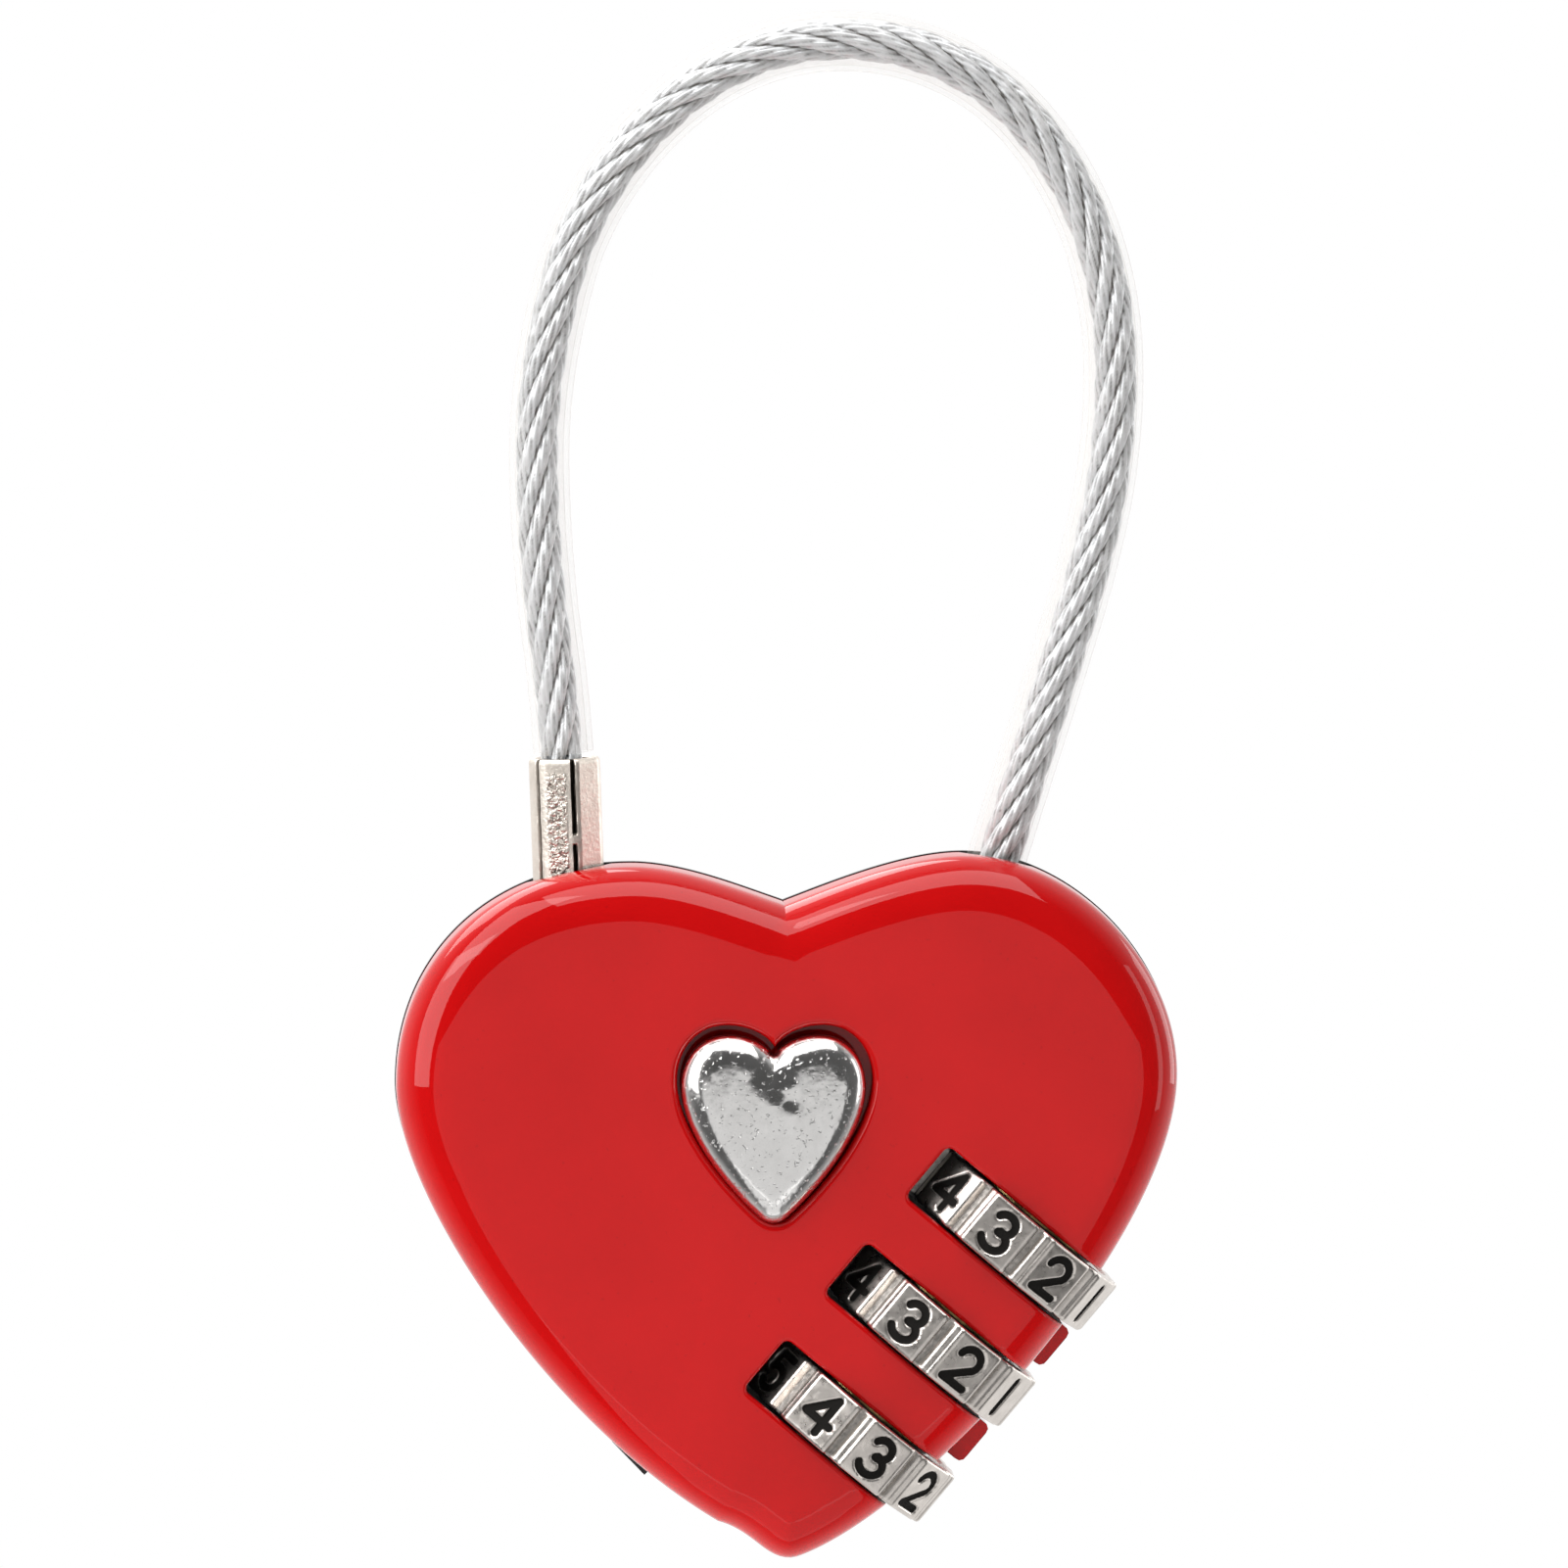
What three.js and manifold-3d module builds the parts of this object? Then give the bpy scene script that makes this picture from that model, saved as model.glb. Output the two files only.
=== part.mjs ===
// A heart-shaped luggage padlock: three number wheels, a push button, and a steel cable for a shackle.
// Millimetres, +Z up, the front faces -Y. The origin is the point under the cable's crown, where it hangs.
import * as THREE from "three";
import { mergeVertices } from "three/addons/utils/BufferGeometryUtils.js";
import Module from "manifold-3d";

const wasm = await Module();
wasm.setup();

// ---- Driving dimensions ----

const GAP = 0.3; // between pieces that touch
const heartDrop = 66.4; // from the hanging point down to the case's own centre

const caseHalf = 6; // half the case's thickness
const shoulder = 3; // depth of the rounded edge
const shoulderScale = 0.125; // how much the outline shrinks over the rounded edge
const wall = 1.3;
const backLip = 1.011; // the back half stands out a little past the front half
const ceiling = caseHalf - wall;

const dialCentre = new THREE.Vector3(8.85, 0, -10.87);
const dialTilt = THREE.MathUtils.degToRad(40); // the axle leans this far to the right of upright
const dialPitch = 7.75;
const dialRadius = 7.2; // to the middle of a number pad
const dialWidth = 3.7;
const padHalf = 1.7;
const fluteDepth = 0.55;
const slotWidth = 4.1;
const slotStart = -6.85;
const lugReach = 6.95; // how far the back half's lugs stand out between the wheels
const dialNames = ["bottom", "middle", "top"];
// Where each wheel's first pad stands, for the bottom, middle and top wheel.
const dialTurns = [-108.9, -104.4, -98.7].map(THREE.MathUtils.degToRad);

const sleeveRadius = 4.2;
const sleeveLength = 3.9;
const spindleRadius = 1;
const finRadius = 2.3;
const reliefRadius = 2.7;
const collarAt = 11.7;
const bushRadius = 2;

const buttonCentre = new THREE.Vector3(-0.85, 0, 2.1);
const stemRadius = 1.6;
const pocketFloor = 3.8; // distance of the pocket's floor in front of the parting plane
const pocketScale = 1.08; // the pocket against the button's own outline
const pocketMove = new THREE.Vector2(0.09, 0.3); // the button sits low in its pocket

const plateNear = 1.3; // the latch plate's two faces, behind the parting plane
const plateFar = 2.3;

const ferruleFoot = new THREE.Vector3(-13.3, 0, 17.3); // where the ferrule enters the case
const ferruleLean = THREE.MathUtils.degToRad(-2.05);
const ferruleTop = 7.3;
const grooveAt = -5.8;
const anchorMouth = new THREE.Vector3(13, 0, 17.8); // where the fixed end of the cable enters the case
const anchorLean = THREE.MathUtils.degToRad(16.9);
const anchorEye = -10.4;

const jacketRadius = 1.85;
const jacketBore = 1.6;
const ropeRadius = 1.25;

const rivetPlaces = { left: [-17.5, 0], right: [18.2, 7.2], tip: [-6.5, -13.5] };

const resetPlace = new THREE.Vector3(-9.4, 0, -18.85);
const resetTurn = THREE.MathUtils.degToRad(46.2);

// ---- Materials ----

const finish = (color, roughness, metalness) => () =>
  new THREE.MeshStandardMaterial({ color, roughness, metalness });
const redGloss = finish(0xc21014, 0.18, 0);
const chrome = finish(0xd6d6d8, 0.12, 1);
const nickel = finish(0xb9b4aa, 0.32, 1);
const warmNickel = finish(0xc8bba8, 0.38, 1);
const steel = finish(0x9a9c9f, 0.4, 1);
const springSteel = finish(0x6f7275, 0.35, 1);
const brass = finish(0xb08d4a, 0.35, 1);
const zinc = finish(0xa4a6a6, 0.55, 1);
const clearPvc = finish(0xeef0f0, 0.15, 0);
const blackPlastic = finish(0x1c1c1e, 0.45, 0);

// ---- Solids ----

function solidOf(geometry) {
  const bare = geometry.clone();
  bare.deleteAttribute("normal");
  bare.deleteAttribute("uv");
  const merged = mergeVertices(bare, 1e-4);
  return new wasm.Manifold(
    new wasm.Mesh({
      numProp: 3,
      vertProperties: new Float32Array(merged.attributes.position.array),
      triVerts: new Uint32Array(merged.index.array),
    }),
  );
}

function geometryOf(solid) {
  const mesh = solid.getMesh();
  const geometry = new THREE.BufferGeometry();
  geometry.setAttribute("position", new THREE.BufferAttribute(mesh.vertProperties, 3));
  geometry.setIndex(new THREE.BufferAttribute(mesh.triVerts, 1));
  const flat = geometry.toNonIndexed();
  flat.computeVertexNormals();
  return flat;
}

function box(x0, x1, y0, y1, z0, z1) {
  const geometry = new THREE.BoxGeometry(x1 - x0, y1 - y0, z1 - z0);
  return geometry.translate((x0 + x1) / 2, (y0 + y1) / 2, (z0 + z1) / 2);
}

// A solid of revolution about Z. The profile is a closed loop of [radius, height] points.
function turned(profile, sides = 32) {
  const points = profile.map(([r, z]) => new THREE.Vector2(r, z));
  return new THREE.LatheGeometry(points, sides).rotateX(Math.PI / 2);
}

function rod(radius, z0, z1, sides = 32) {
  return turned([[0, z0], [radius, z0], [radius, z1], [0, z1]], sides);
}

function ring(inner, outer, z0, z1, sides = 32) {
  return turned([[inner, z0], [outer, z0], [outer, z1], [inner, z1], [inner, z0]], sides);
}

// The same rod or ring along Y, centred on the point (x, z).
const alongY = (geometry, x, z) => geometry.rotateX(-Math.PI / 2).translate(x, 0, z);

// An outline in X and Z made as thick as y0 to y1.
function slab(shape, y0, y1) {
  const geometry = new THREE.ExtrudeGeometry(shape, { depth: y1 - y0, bevelEnabled: false });
  return geometry.rotateX(Math.PI / 2).translate(0, y1, 0);
}

function polygon(points) {
  return new THREE.Shape(points.map(([x, y]) => new THREE.Vector2(x, y)));
}

// A closed body through one outline at several depths. Each section is [y, scale] about the outline's centre.
function loft(outline, centre, sections) {
  const count = outline.length;
  const positions = [];
  for (const [y, scale] of sections) {
    for (const p of outline) {
      positions.push(centre.x + (p.x - centre.x) * scale, y, centre.y + (p.y - centre.y) * scale);
    }
  }
  const faces = [];
  for (let layer = 0; layer < sections.length - 1; layer++) {
    for (let i = 0; i < count; i++) {
      const a = layer * count + i;
      const b = layer * count + ((i + 1) % count);
      faces.push(a, b, b + count, a, b + count, a + count);
    }
  }
  const lastRing = (sections.length - 1) * count;
  for (const [a, b, c] of THREE.ShapeUtils.triangulateShape(outline, [])) {
    faces.push(a, c, b, lastRing + a, lastRing + b, lastRing + c);
  }
  const geometry = new THREE.BufferGeometry();
  geometry.setAttribute("position", new THREE.Float32BufferAttribute(positions, 3));
  geometry.setIndex(faces);
  const solid = solidOf(geometry);
  if (solid.volume() > 0) return solid;
  geometry.setIndex(faces.reverse());
  return solidOf(geometry);
}

const union = (first, ...others) => others.reduce((sum, g) => sum.add(solidOf(g)), first);
const cut = (first, ...others) => others.reduce((sum, g) => sum.subtract(solidOf(g)), first);

// ---- Frames inside the lock ----

function frame(place, turn) {
  const matrix = new THREE.Matrix4().makeRotationY(turn);
  return matrix.setPosition(place);
}
const dialFrame = frame(dialCentre, dialTilt); // X out of the case's edge, Z along the axle
const ferruleFrame = frame(ferruleFoot, ferruleLean); // Z up the ferrule
const anchorFrame = frame(anchorMouth, anchorLean); // Z up the cable
const resetFrame = frame(resetPlace, resetTurn); // X along the case's edge, Z into the case
const inDial = (geometry) => geometry.applyMatrix4(dialFrame);
const inFerrule = (geometry) => geometry.applyMatrix4(ferruleFrame);
const inAnchor = (geometry) => geometry.applyMatrix4(anchorFrame);
const inReset = (geometry) => geometry.applyMatrix4(resetFrame);
const dialSteps = dialNames.map((name, i) => (i - 1) * dialPitch);
const ribSteps = [-dialPitch / 2, dialPitch / 2];

// ---- Outlines ----

const caseCentre = new THREE.Vector2(0, -1);

function caseOutline() {
  const heart = new THREE.Shape();
  heart.moveTo(0, 15.5);
  heart.bezierCurveTo(-2.4, 16.3, -6.2, 17.9, -9.4, 17.9);
  heart.bezierCurveTo(-18.4, 17.9, -23.8, 11.9, -23.8, 4.5);
  heart.bezierCurveTo(-23.8, -2.1, -14.6, -16.1, -4.1, -22.4);
  heart.bezierCurveTo(-1.9, -23, -1.2, -24.7, 0.3, -24.7);
  heart.lineTo(1.1, -24.5);
  heart.bezierCurveTo(8.8, -21.5, 24.1, -4.8, 24.1, 5.1);
  heart.bezierCurveTo(24.1, 12, 17.7, 18.5, 11, 18.5);
  heart.bezierCurveTo(7.4, 18.5, 2.4, 16.4, 0, 15.5);
  return heart.getPoints(11).slice(0, -1);
}

function buttonOutline() {
  const heart = new THREE.Shape();
  heart.moveTo(0, 4.5);
  heart.bezierCurveTo(-0.5, 5.3, -1.6, 5.8, -2.8, 5.8);
  heart.bezierCurveTo(-4.6, 5.8, -5.67, 4.3, -5.67, 2.6);
  heart.bezierCurveTo(-5.67, -0.4, -2.6, -3.9, -0.8, -5.5);
  heart.bezierCurveTo(-0.3, -5.9, 0.3, -5.9, 0.8, -5.5);
  heart.bezierCurveTo(2.6, -3.9, 5.67, -0.4, 5.67, 2.6);
  heart.bezierCurveTo(5.67, 4.3, 4.6, 5.8, 2.8, 5.8);
  heart.bezierCurveTo(1.6, 5.8, 0.5, 5.3, 0, 4.5);
  const move = new THREE.Vector2(buttonCentre.x, buttonCentre.z);
  return heart.getPoints(6).slice(0, -1).map((p) => p.add(move));
}

const heartPoints = caseOutline();
const buttonPoints = buttonOutline();
const buttonMiddle = new THREE.Vector2(buttonCentre.x, buttonCentre.z);
const pocketMiddle = buttonMiddle.clone().add(pocketMove);
const pocketPoints = buttonPoints.map((p) =>
  p.clone().sub(buttonMiddle).multiplyScalar(pocketScale).add(pocketMiddle),
);

// ---- Case ----

// side is -1 for the front half and 1 for the back half.
function caseBlank(side, lip) {
  const sections = [[side * (GAP / 2), lip], [side * (caseHalf - shoulder), lip]];
  const steps = 5;
  for (let i = 1; i <= steps; i++) {
    const angle = (i / steps) * (Math.PI / 2);
    const depth = caseHalf - shoulder + shoulder * Math.sin(angle);
    sections.push([side * depth, lip - shoulderScale * (1 - Math.cos(angle))]);
  }
  return loft(heartPoints, caseCentre, sections);
}

function caseHollow(side) {
  const open = side * -1;
  return loft(heartPoints, caseCentre, [
    [open, 0.94],
    [side * 2.8, 0.94],
    [side * 4, 0.92],
    [side * ceiling, 0.885],
  ]);
}

// Ribs, bosses and cradles that stand inside a half, all trimmed to the outside of the case.
function innerSupports(side, blank) {
  const near = side * (GAP / 2);
  const far = side * (ceiling + 0.5);
  const [y0, y1] = side < 0 ? [far, near] : [near, far];
  const dialRibs = ribSteps.map((s) => inDial(box(-8, 6, y0, y1, s - 1.2, s + 1.2)));
  const cradles = [
    inDial(box(-3.2, 3.2, y0, y1, 14.7, 16.3)),
    inDial(box(-3, 3, y0, y1, -13.2, -11.6)),
    inFerrule(box(-3.8, 3.8, y0, y1, -3.6, -2.6)),
    inAnchor(box(-4, 4, y0, y1, -5.6, -4.6)),
  ];
  const posts = Object.values(rivetPlaces).map(([x, z]) => alongY(rod(2.5, y0, y1, 24), x, z));
  const eye = new THREE.Vector3(0, 0, anchorEye).applyMatrix4(anchorFrame);
  const pinPost = side < 0 ? [far, -1.3] : [1.3, far];
  posts.push(alongY(rod(2, pinPost[0], pinPost[1], 24), eye.x, eye.z));
  const [first, ...others] = [...dialRibs, ...cradles, ...posts];
  return union(solidOf(first), ...others).intersect(blank);
}

// Everything that both halves leave open: slots, the cable's two mouths, and the bores.
function commonCuts(solid) {
  const reach = caseHalf + 3;
  const halfSlot = slotWidth / 2;
  const slots = dialSteps.map((s) => inDial(box(slotStart, 14, -reach, reach, s - halfSlot, s + halfSlot)));
  const eye = new THREE.Vector3(0, 0, anchorEye).applyMatrix4(anchorFrame);
  return cut(
    solid,
    ...slots,
    inDial(rod(1.4, -14, 18, 24)),
    inDial(rod(bushRadius + GAP, 14.6, 16.4, 24)),
    inDial(rod(bushRadius + GAP, -13.3, -11.5, 24)),
    inFerrule(rod(2.55, -1.8, 6, 32)),
    inFerrule(rod(2.35, -10, 0, 32)),
    inAnchor(rod(jacketRadius + 0.35, -4, 6, 24)),
    inAnchor(rod(2.8, -9, -1.5, 24)),
    alongY(rod(1.1, -ceiling, ceiling, 20), eye.x, eye.z),
  );
}

function frontShell() {
  const blank = caseBlank(-1, 1);
  const hollow = caseHollow(-1);
  const pocketBoss = loft(pocketPoints, pocketMiddle, [[-ceiling - 0.3, 1.165], [-pocketFloor + 1, 1.165]]);
  const pocket = loft(pocketPoints, pocketMiddle, [[-caseHalf - 2, 1], [-pocketFloor, 1]]);
  let shell = blank.subtract(hollow).add(innerSupports(-1, blank)).add(pocketBoss);
  shell = commonCuts(shell.subtract(pocket));
  const bores = Object.values(rivetPlaces).map(([x, z]) => alongY(rod(1.5, -3.9, 1, 20), x, z));
  const stemHole = alongY(rod(stemRadius + GAP, -5, 0, 24), buttonCentre.x, buttonCentre.z);
  return cut(shell, ...bores, stemHole);
}

function backShell() {
  const blank = caseBlank(1, backLip);
  const hollow = caseHollow(1);
  const springPost = box(-6.1, -5.3, 0.9, ceiling + 0.3, 0.3, 2.9);
  const lugs = ribSteps.map((s) => inDial(box(4.5, lugReach, GAP / 2, 3, s - 1.25, s + 1.65)));
  let shell = blank.subtract(hollow).add(innerSupports(1, blank));
  shell = commonCuts(union(shell, springPost, ...lugs));
  const bores = Object.values(rivetPlaces).flatMap(([x, z]) => [
    alongY(rod(1.5, -1, caseHalf + 1, 20), x, z),
    alongY(rod(2.3, caseHalf - 0.8, caseHalf + 1, 24), x, z),
  ]);
  const resetSlot = inReset(box(-1.8, 3.8, 0.9, 3.1, -2, 1.3));
  const resetPocket = inReset(box(-2.9, 5, 0.5, 3.5, 1.25, 3.1));
  return cut(shell, ...bores, resetSlot, resetPocket);
}

function rivet([x, z]) {
  const shank = rod(1.2, -3.6, caseHalf - 0.5, 20);
  const head = rod(2, caseHalf - 0.55, caseHalf - 0.05, 24);
  return union(solidOf(alongY(shank, x, z)), alongY(head, x, z));
}

// ---- Button ----

function releaseButton() {
  const cap = loft(buttonPoints, buttonMiddle, [
    [-5.3, 1], [-6.3, 1], [-6.8, 0.95], [-7.15, 0.84], [-7.35, 0.66], [-7.4, 0.4],
  ]);
  const { x, z } = buttonCentre;
  const stem = turned([
    [0, -5.4], [stemRadius, -5.4], [stemRadius, -2.75], [1.1, -2.75],
    [1.1, -1.65], [stemRadius, -1.65], [stemRadius, 2], [0, 2],
  ], 24);
  const wedge = new THREE.ExtrudeGeometry(polygon([[-1, 3.3], [5.3, -3], [7.4, -3], [7.4, 3.3]]), {
    depth: 6,
    bevelEnabled: false,
  }).translate(x, 0, z - 3);
  return cut(cap.add(solidOf(alongY(stem, x, z))), wedge);
}

function buttonRetainer() {
  const { x, z } = buttonCentre;
  const washer = solidOf(alongY(ring(1.4, 2.8, -2.5, -1.9, 28), x, z));
  return cut(washer, box(x - 0.9, x + 0.9, -3, -1, z - 4, z));
}

// A round wire wound about Z from z0 to z1.
class Coil extends THREE.Curve {
  constructor(radius, turns, z0, z1) {
    super();
    Object.assign(this, { radius, turns, z0, z1 });
  }
  getPoint(t) {
    const angle = t * this.turns * 2 * Math.PI;
    const z = this.z0 + (this.z1 - this.z0) * t;
    return new THREE.Vector3(this.radius * Math.cos(angle), this.radius * Math.sin(angle), z);
  }
}

function coil(radius, turns, z0, z1, wire) {
  const section = new THREE.Shape();
  section.absarc(0, 0, wire, 0, 2 * Math.PI);
  return new THREE.ExtrudeGeometry(section, {
    curveSegments: 3,
    steps: Math.round(turns * 9),
    extrudePath: new Coil(radius, turns, z0, z1),
  });
}

// ---- Latch ----

function latchPlate() {
  const outline = polygon([
    [-10.5, -1.8], [4.5, -1.8], [4.5, 3.2], [8, 3.2], [16.7, -3.9], [17.3, -3.1],
    [9.3, 3.7], [7.6, 5.2], [-8, 5.2], [-8, 12.4], [-10.5, 12.4],
  ]);
  const springWindow = box(-9.6, -5, 0, 4, 0, 3.2);
  const stemWindow = new THREE.ExtrudeGeometry(
    polygon([[-3.2, 1], [1.7, 1], [0.1, 2.6], [-3.2, 2.6]]),
    { depth: 4, bevelEnabled: false },
  ).translate(buttonCentre.x, 0, buttonCentre.z - 2);
  return cut(solidOf(slab(outline, plateNear, plateFar)), springWindow, stemWindow);
}

// A blade that lies in the ferrule's groove, and the leg that fastens it to the latch plate.
function latchClip() {
  const grooveZ = ferruleFoot.z + grooveAt;
  const blade = box(-12.4, -8.2, -1.2, plateNear - GAP, grooveZ - 0.3, grooveZ + 0.3);
  const leg = box(-10.3, -8.2, plateNear - GAP - 0.5, plateNear - GAP, grooveZ - 3, grooveZ);
  const mouth = rod(1.65, grooveZ - 1, grooveZ + 1, 32).translate(-13.09, 0, 0);
  return cut(union(solidOf(blade), leg), mouth);
}

// ---- Dials and spindle ----

function dialWheel(step) {
  const pad = (2 * Math.PI) / 10;
  const corners = [];
  const corner = (turn, out, along = 0) => {
    const x = Math.cos(turn) * out - Math.sin(turn) * along;
    const y = Math.sin(turn) * out + Math.cos(turn) * along;
    corners.push([x, y]);
  };
  for (let i = 0; i < 10; i++) {
    corner(i * pad, dialRadius, -padHalf);
    corner(i * pad, dialRadius, padHalf);
    for (const offset of [-0.028, 0, 0.028]) {
      const depth = fluteDepth * (offset ? 0.75 : 1);
      corner((i + 0.5) * pad + offset, dialRadius + 0.2 - depth);
    }
  }
  const body = new THREE.ExtrudeGeometry(polygon(corners), { depth: dialWidth, bevelEnabled: false });
  body.translate(0, 0, step - dialWidth / 2);
  return cut(solidOf(body), rod(sleeveRadius + GAP, step - 4, step + 4, 40));
}

function codeSleeve(step) {
  const low = step - sleeveLength / 2;
  const body = rod(sleeveRadius, low, low + sleeveLength, 40);
  const bore = rod(spindleRadius + GAP, low - 1, low + sleeveLength + 1, 24);
  const relief = rod(reliefRadius, low - 1, step + 0.1, 28);
  const gate = box(0, reliefRadius, -0.65, 0.65, step, step + sleeveLength);
  return cut(solidOf(body), bore, relief, gate);
}

function codeSpindle() {
  const shaft = turned([
    [0, -13.4], [spindleRadius, -13.4], [spindleRadius, collarAt], [2.2, collarAt],
    [2.2, collarAt + 0.8], [spindleRadius, collarAt + 0.8], [spindleRadius, 16.5], [0, 16.5],
  ], 24);
  const fins = dialSteps.map((s) => box(0.5, finRadius, -0.4, 0.4, s - 1.9, s - 1));
  return union(solidOf(shaft), ...fins);
}

function detentSpring() {
  const strip = box(-10.6, -8.6, 3.95, 4.35, -8.9, 8.9);
  const finger = polygon([
    [-8.7, 3.95], [-8, 3.95], [-7.3, 3.25], [-7, 3.55], [-7.8, 4.35], [-8.7, 4.35],
  ]);
  const fingers = dialSteps.map((s) =>
    new THREE.ExtrudeGeometry(finger, { depth: 1.6, bevelEnabled: false }).translate(0, 0, s - 0.8),
  );
  return union(solidOf(strip), ...fingers);
}

// ---- Reset slider, ferrule and anchor ----

function resetSlider() {
  const tip = box(-1.45, 1.45, 1.2, 2.8, -0.3, 1.7);
  const head = box(-2.5, 2.5, 0.8, 3.2, 1.6, 2.7);
  return union(solidOf(head), tip);
}

function cableFerrule() {
  const body = turned([
    [0, -9], [0.9, -9], [2, -7.9], [2, grooveAt - 0.6], [1.35, grooveAt - 0.6], [1.35, grooveAt + 0.6],
    [2, grooveAt + 0.6], [2, -0.8], [2.2, -0.5], [2.2, ferruleTop - 0.2], [2.05, ferruleTop],
    [1.65, ferruleTop], [1.65, 0], [0, 0],
  ], 32);
  const facet = box(-3, 3, -4, -2, -0.3, ferruleTop + 1).rotateZ(THREE.MathUtils.degToRad(-25));
  return cut(solidOf(body), facet);
}

function cableAnchor() {
  const tube = turned([
    [0, -8.8], [2.5, -8.8], [2.5, -2], [2.2, -2], [2.2, -7.4], [0, -7.4],
  ], 32);
  const tongue = box(-1.9, 1.9, -0.9, 0.9, -12.2, -8.6);
  const eye = alongY(rod(1.1, -2, 2, 24), 0, anchorEye);
  return cut(union(solidOf(tube), tongue), eye);
}

// ---- Cable ----

// Up from the ferrule, over the crown, and down into the case's anchor.
const routePoints = [
  [-13.33, 18.2], [-13.6, 24.9], [-14, 29.5], [-14.6, 34.5], [-15, 40], [-15, 45.5], [-14.2, 51.2],
  [-12.5, 57], [-9.5, 61.9], [-5.4, 65.8], [-1, 68], [3.5, 68.7], [8.2, 68], [12.6, 65.8], [16, 62.3],
  [18.6, 57.6], [20, 52.4], [20.3, 47.1], [19.8, 41.5], [18.6, 36], [16.9, 30.2], [15, 24.2],
  [13, 17.8], [11, 11.1],
];
const route = new THREE.CatmullRomCurve3(
  routePoints.map(([x, z]) => new THREE.Vector3(x, 0, z)),
  false,
  "centripetal",
);

// The stretch of the route between two distances along it.
class Stretch extends THREE.Curve {
  constructor(from, to) {
    super();
    this.range = [from, to].map((length) => length / route.getLength());
  }
  getPoint(t) {
    return route.getPointAt(THREE.MathUtils.lerp(this.range[0], this.range[1], t));
  }
}

// Where along the route a point of it lies, counted in its points.
const distanceTo = (index) => route.getLengths(2300)[Math.round((2300 * index) / (routePoints.length - 1))];
const jacketStart = distanceTo(1);
const crownCut = distanceTo(11.1); // just past the crown, so that the free half lifts away from the other
const cableEnd = route.getLength();

function cord(radius, bore, from, to, steps) {
  const section = new THREE.Shape();
  section.absarc(0, 0, radius, 0, 2 * Math.PI);
  if (bore) section.holes.push(new THREE.Path().absarc(0, 0, bore, 0, 2 * Math.PI, true));
  return new THREE.ExtrudeGeometry(section, {
    curveSegments: 4,
    steps,
    extrudePath: new Stretch(from, to),
  });
}

// ---- Assembly ----

const lock = new THREE.Group();
lock.position.z = -heartDrop;

function place(parent, name, shape, material) {
  const geometry = shape.isBufferGeometry ? shape : geometryOf(shape);
  const mesh = new THREE.Mesh(geometry, material());
  mesh.name = name;
  parent.add(mesh);
  return mesh;
}

function subgroup(position, turn) {
  const group = new THREE.Group();
  group.position.copy(position);
  group.rotation.y = turn;
  lock.add(group);
  return group;
}

place(lock, "front_shell", frontShell(), redGloss);
place(lock, "back_shell", backShell(), redGloss);
for (const [name, at] of Object.entries(rivetPlaces)) place(lock, `case_rivet_${name}`, rivet(at), steel);

place(lock, "release_button", releaseButton(), chrome);
place(lock, "button_retainer", buttonRetainer(), springSteel);
const buttonSpring = place(lock, "button_spring", coil(2.6, 1.5, 4.1, 5, 0.18), springSteel);
buttonSpring.rotation.x = Math.PI / 2;
buttonSpring.position.copy(buttonCentre);

place(lock, "latch_plate", latchPlate(), zinc);
place(lock, "latch_clip", latchClip(), springSteel);
const latchSpring = place(lock, "latch_spring", coil(1, 4, 0, 2.7, 0.17), springSteel);
latchSpring.rotation.y = Math.PI / 2;
latchSpring.position.set(-9.2, 1.8, 1.6);

const dials = subgroup(dialCentre, dialTilt);
dialNames.forEach((name, i) => {
  const wheel = place(dials, `dial_wheel_${name}`, dialWheel(dialSteps[i]), nickel);
  wheel.rotation.z = dialTurns[i];
  place(dials, `code_sleeve_${name}`, codeSleeve(dialSteps[i]), brass);
});
place(dials, "code_spindle", codeSpindle(), steel);
place(dials, "spindle_spring", coil(1.6, 3, collarAt + 1.1, 14.1, 0.18), springSteel);
place(dials, "spindle_bush_upper", ring(spindleRadius + GAP, bushRadius, 14.9, 16.1, 24), brass);
place(dials, "spindle_bush_lower", ring(spindleRadius + GAP, bushRadius, -13, -11.8, 24), brass);
place(dials, "detent_spring", detentSpring(), springSteel);

const reset = subgroup(resetPlace, resetTurn);
place(reset, "reset_slider", resetSlider(), blackPlastic);

const ferrule = subgroup(ferruleFoot, ferruleLean);
place(ferrule, "cable_ferrule", cableFerrule(), warmNickel);

const anchor = subgroup(anchorMouth, anchorLean);
place(anchor, "cable_anchor", cableAnchor(), zinc);
place(anchor, "anchor_pin", alongY(rod(0.8, -4.3, 4.3, 20), 0, anchorEye), steel);

const freeEnd = crownCut - GAP / 2;
const fixedStart = crownCut + GAP / 2;
place(lock, "cable_jacket_free", cord(jacketRadius, jacketBore, jacketStart, freeEnd, 16), clearPvc);
place(lock, "cable_jacket_fixed", cord(jacketRadius, jacketBore, fixedStart, cableEnd, 22), clearPvc);
place(lock, "wire_rope_free", cord(ropeRadius, 0, 0, freeEnd, 17), steel);
place(lock, "wire_rope_fixed", cord(ropeRadius, 0, fixedStart, cableEnd, 22), steel);

const padlock = new THREE.Group();
padlock.add(lock);
export default padlock;
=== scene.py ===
"""A heart-shaped luggage padlock with three number wheels, a push button and a steel cable.

Shapes are made in the lock's own frame, in millimetres: x to the right, y to the back and z up, with
the origin in the middle of the heart. lock_to_row() turns them into the row frame, in metres.
"""

import math

import bpy
import numpy as np
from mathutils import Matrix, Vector
from mathutils.geometry import delaunay_2d_cdt


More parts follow.
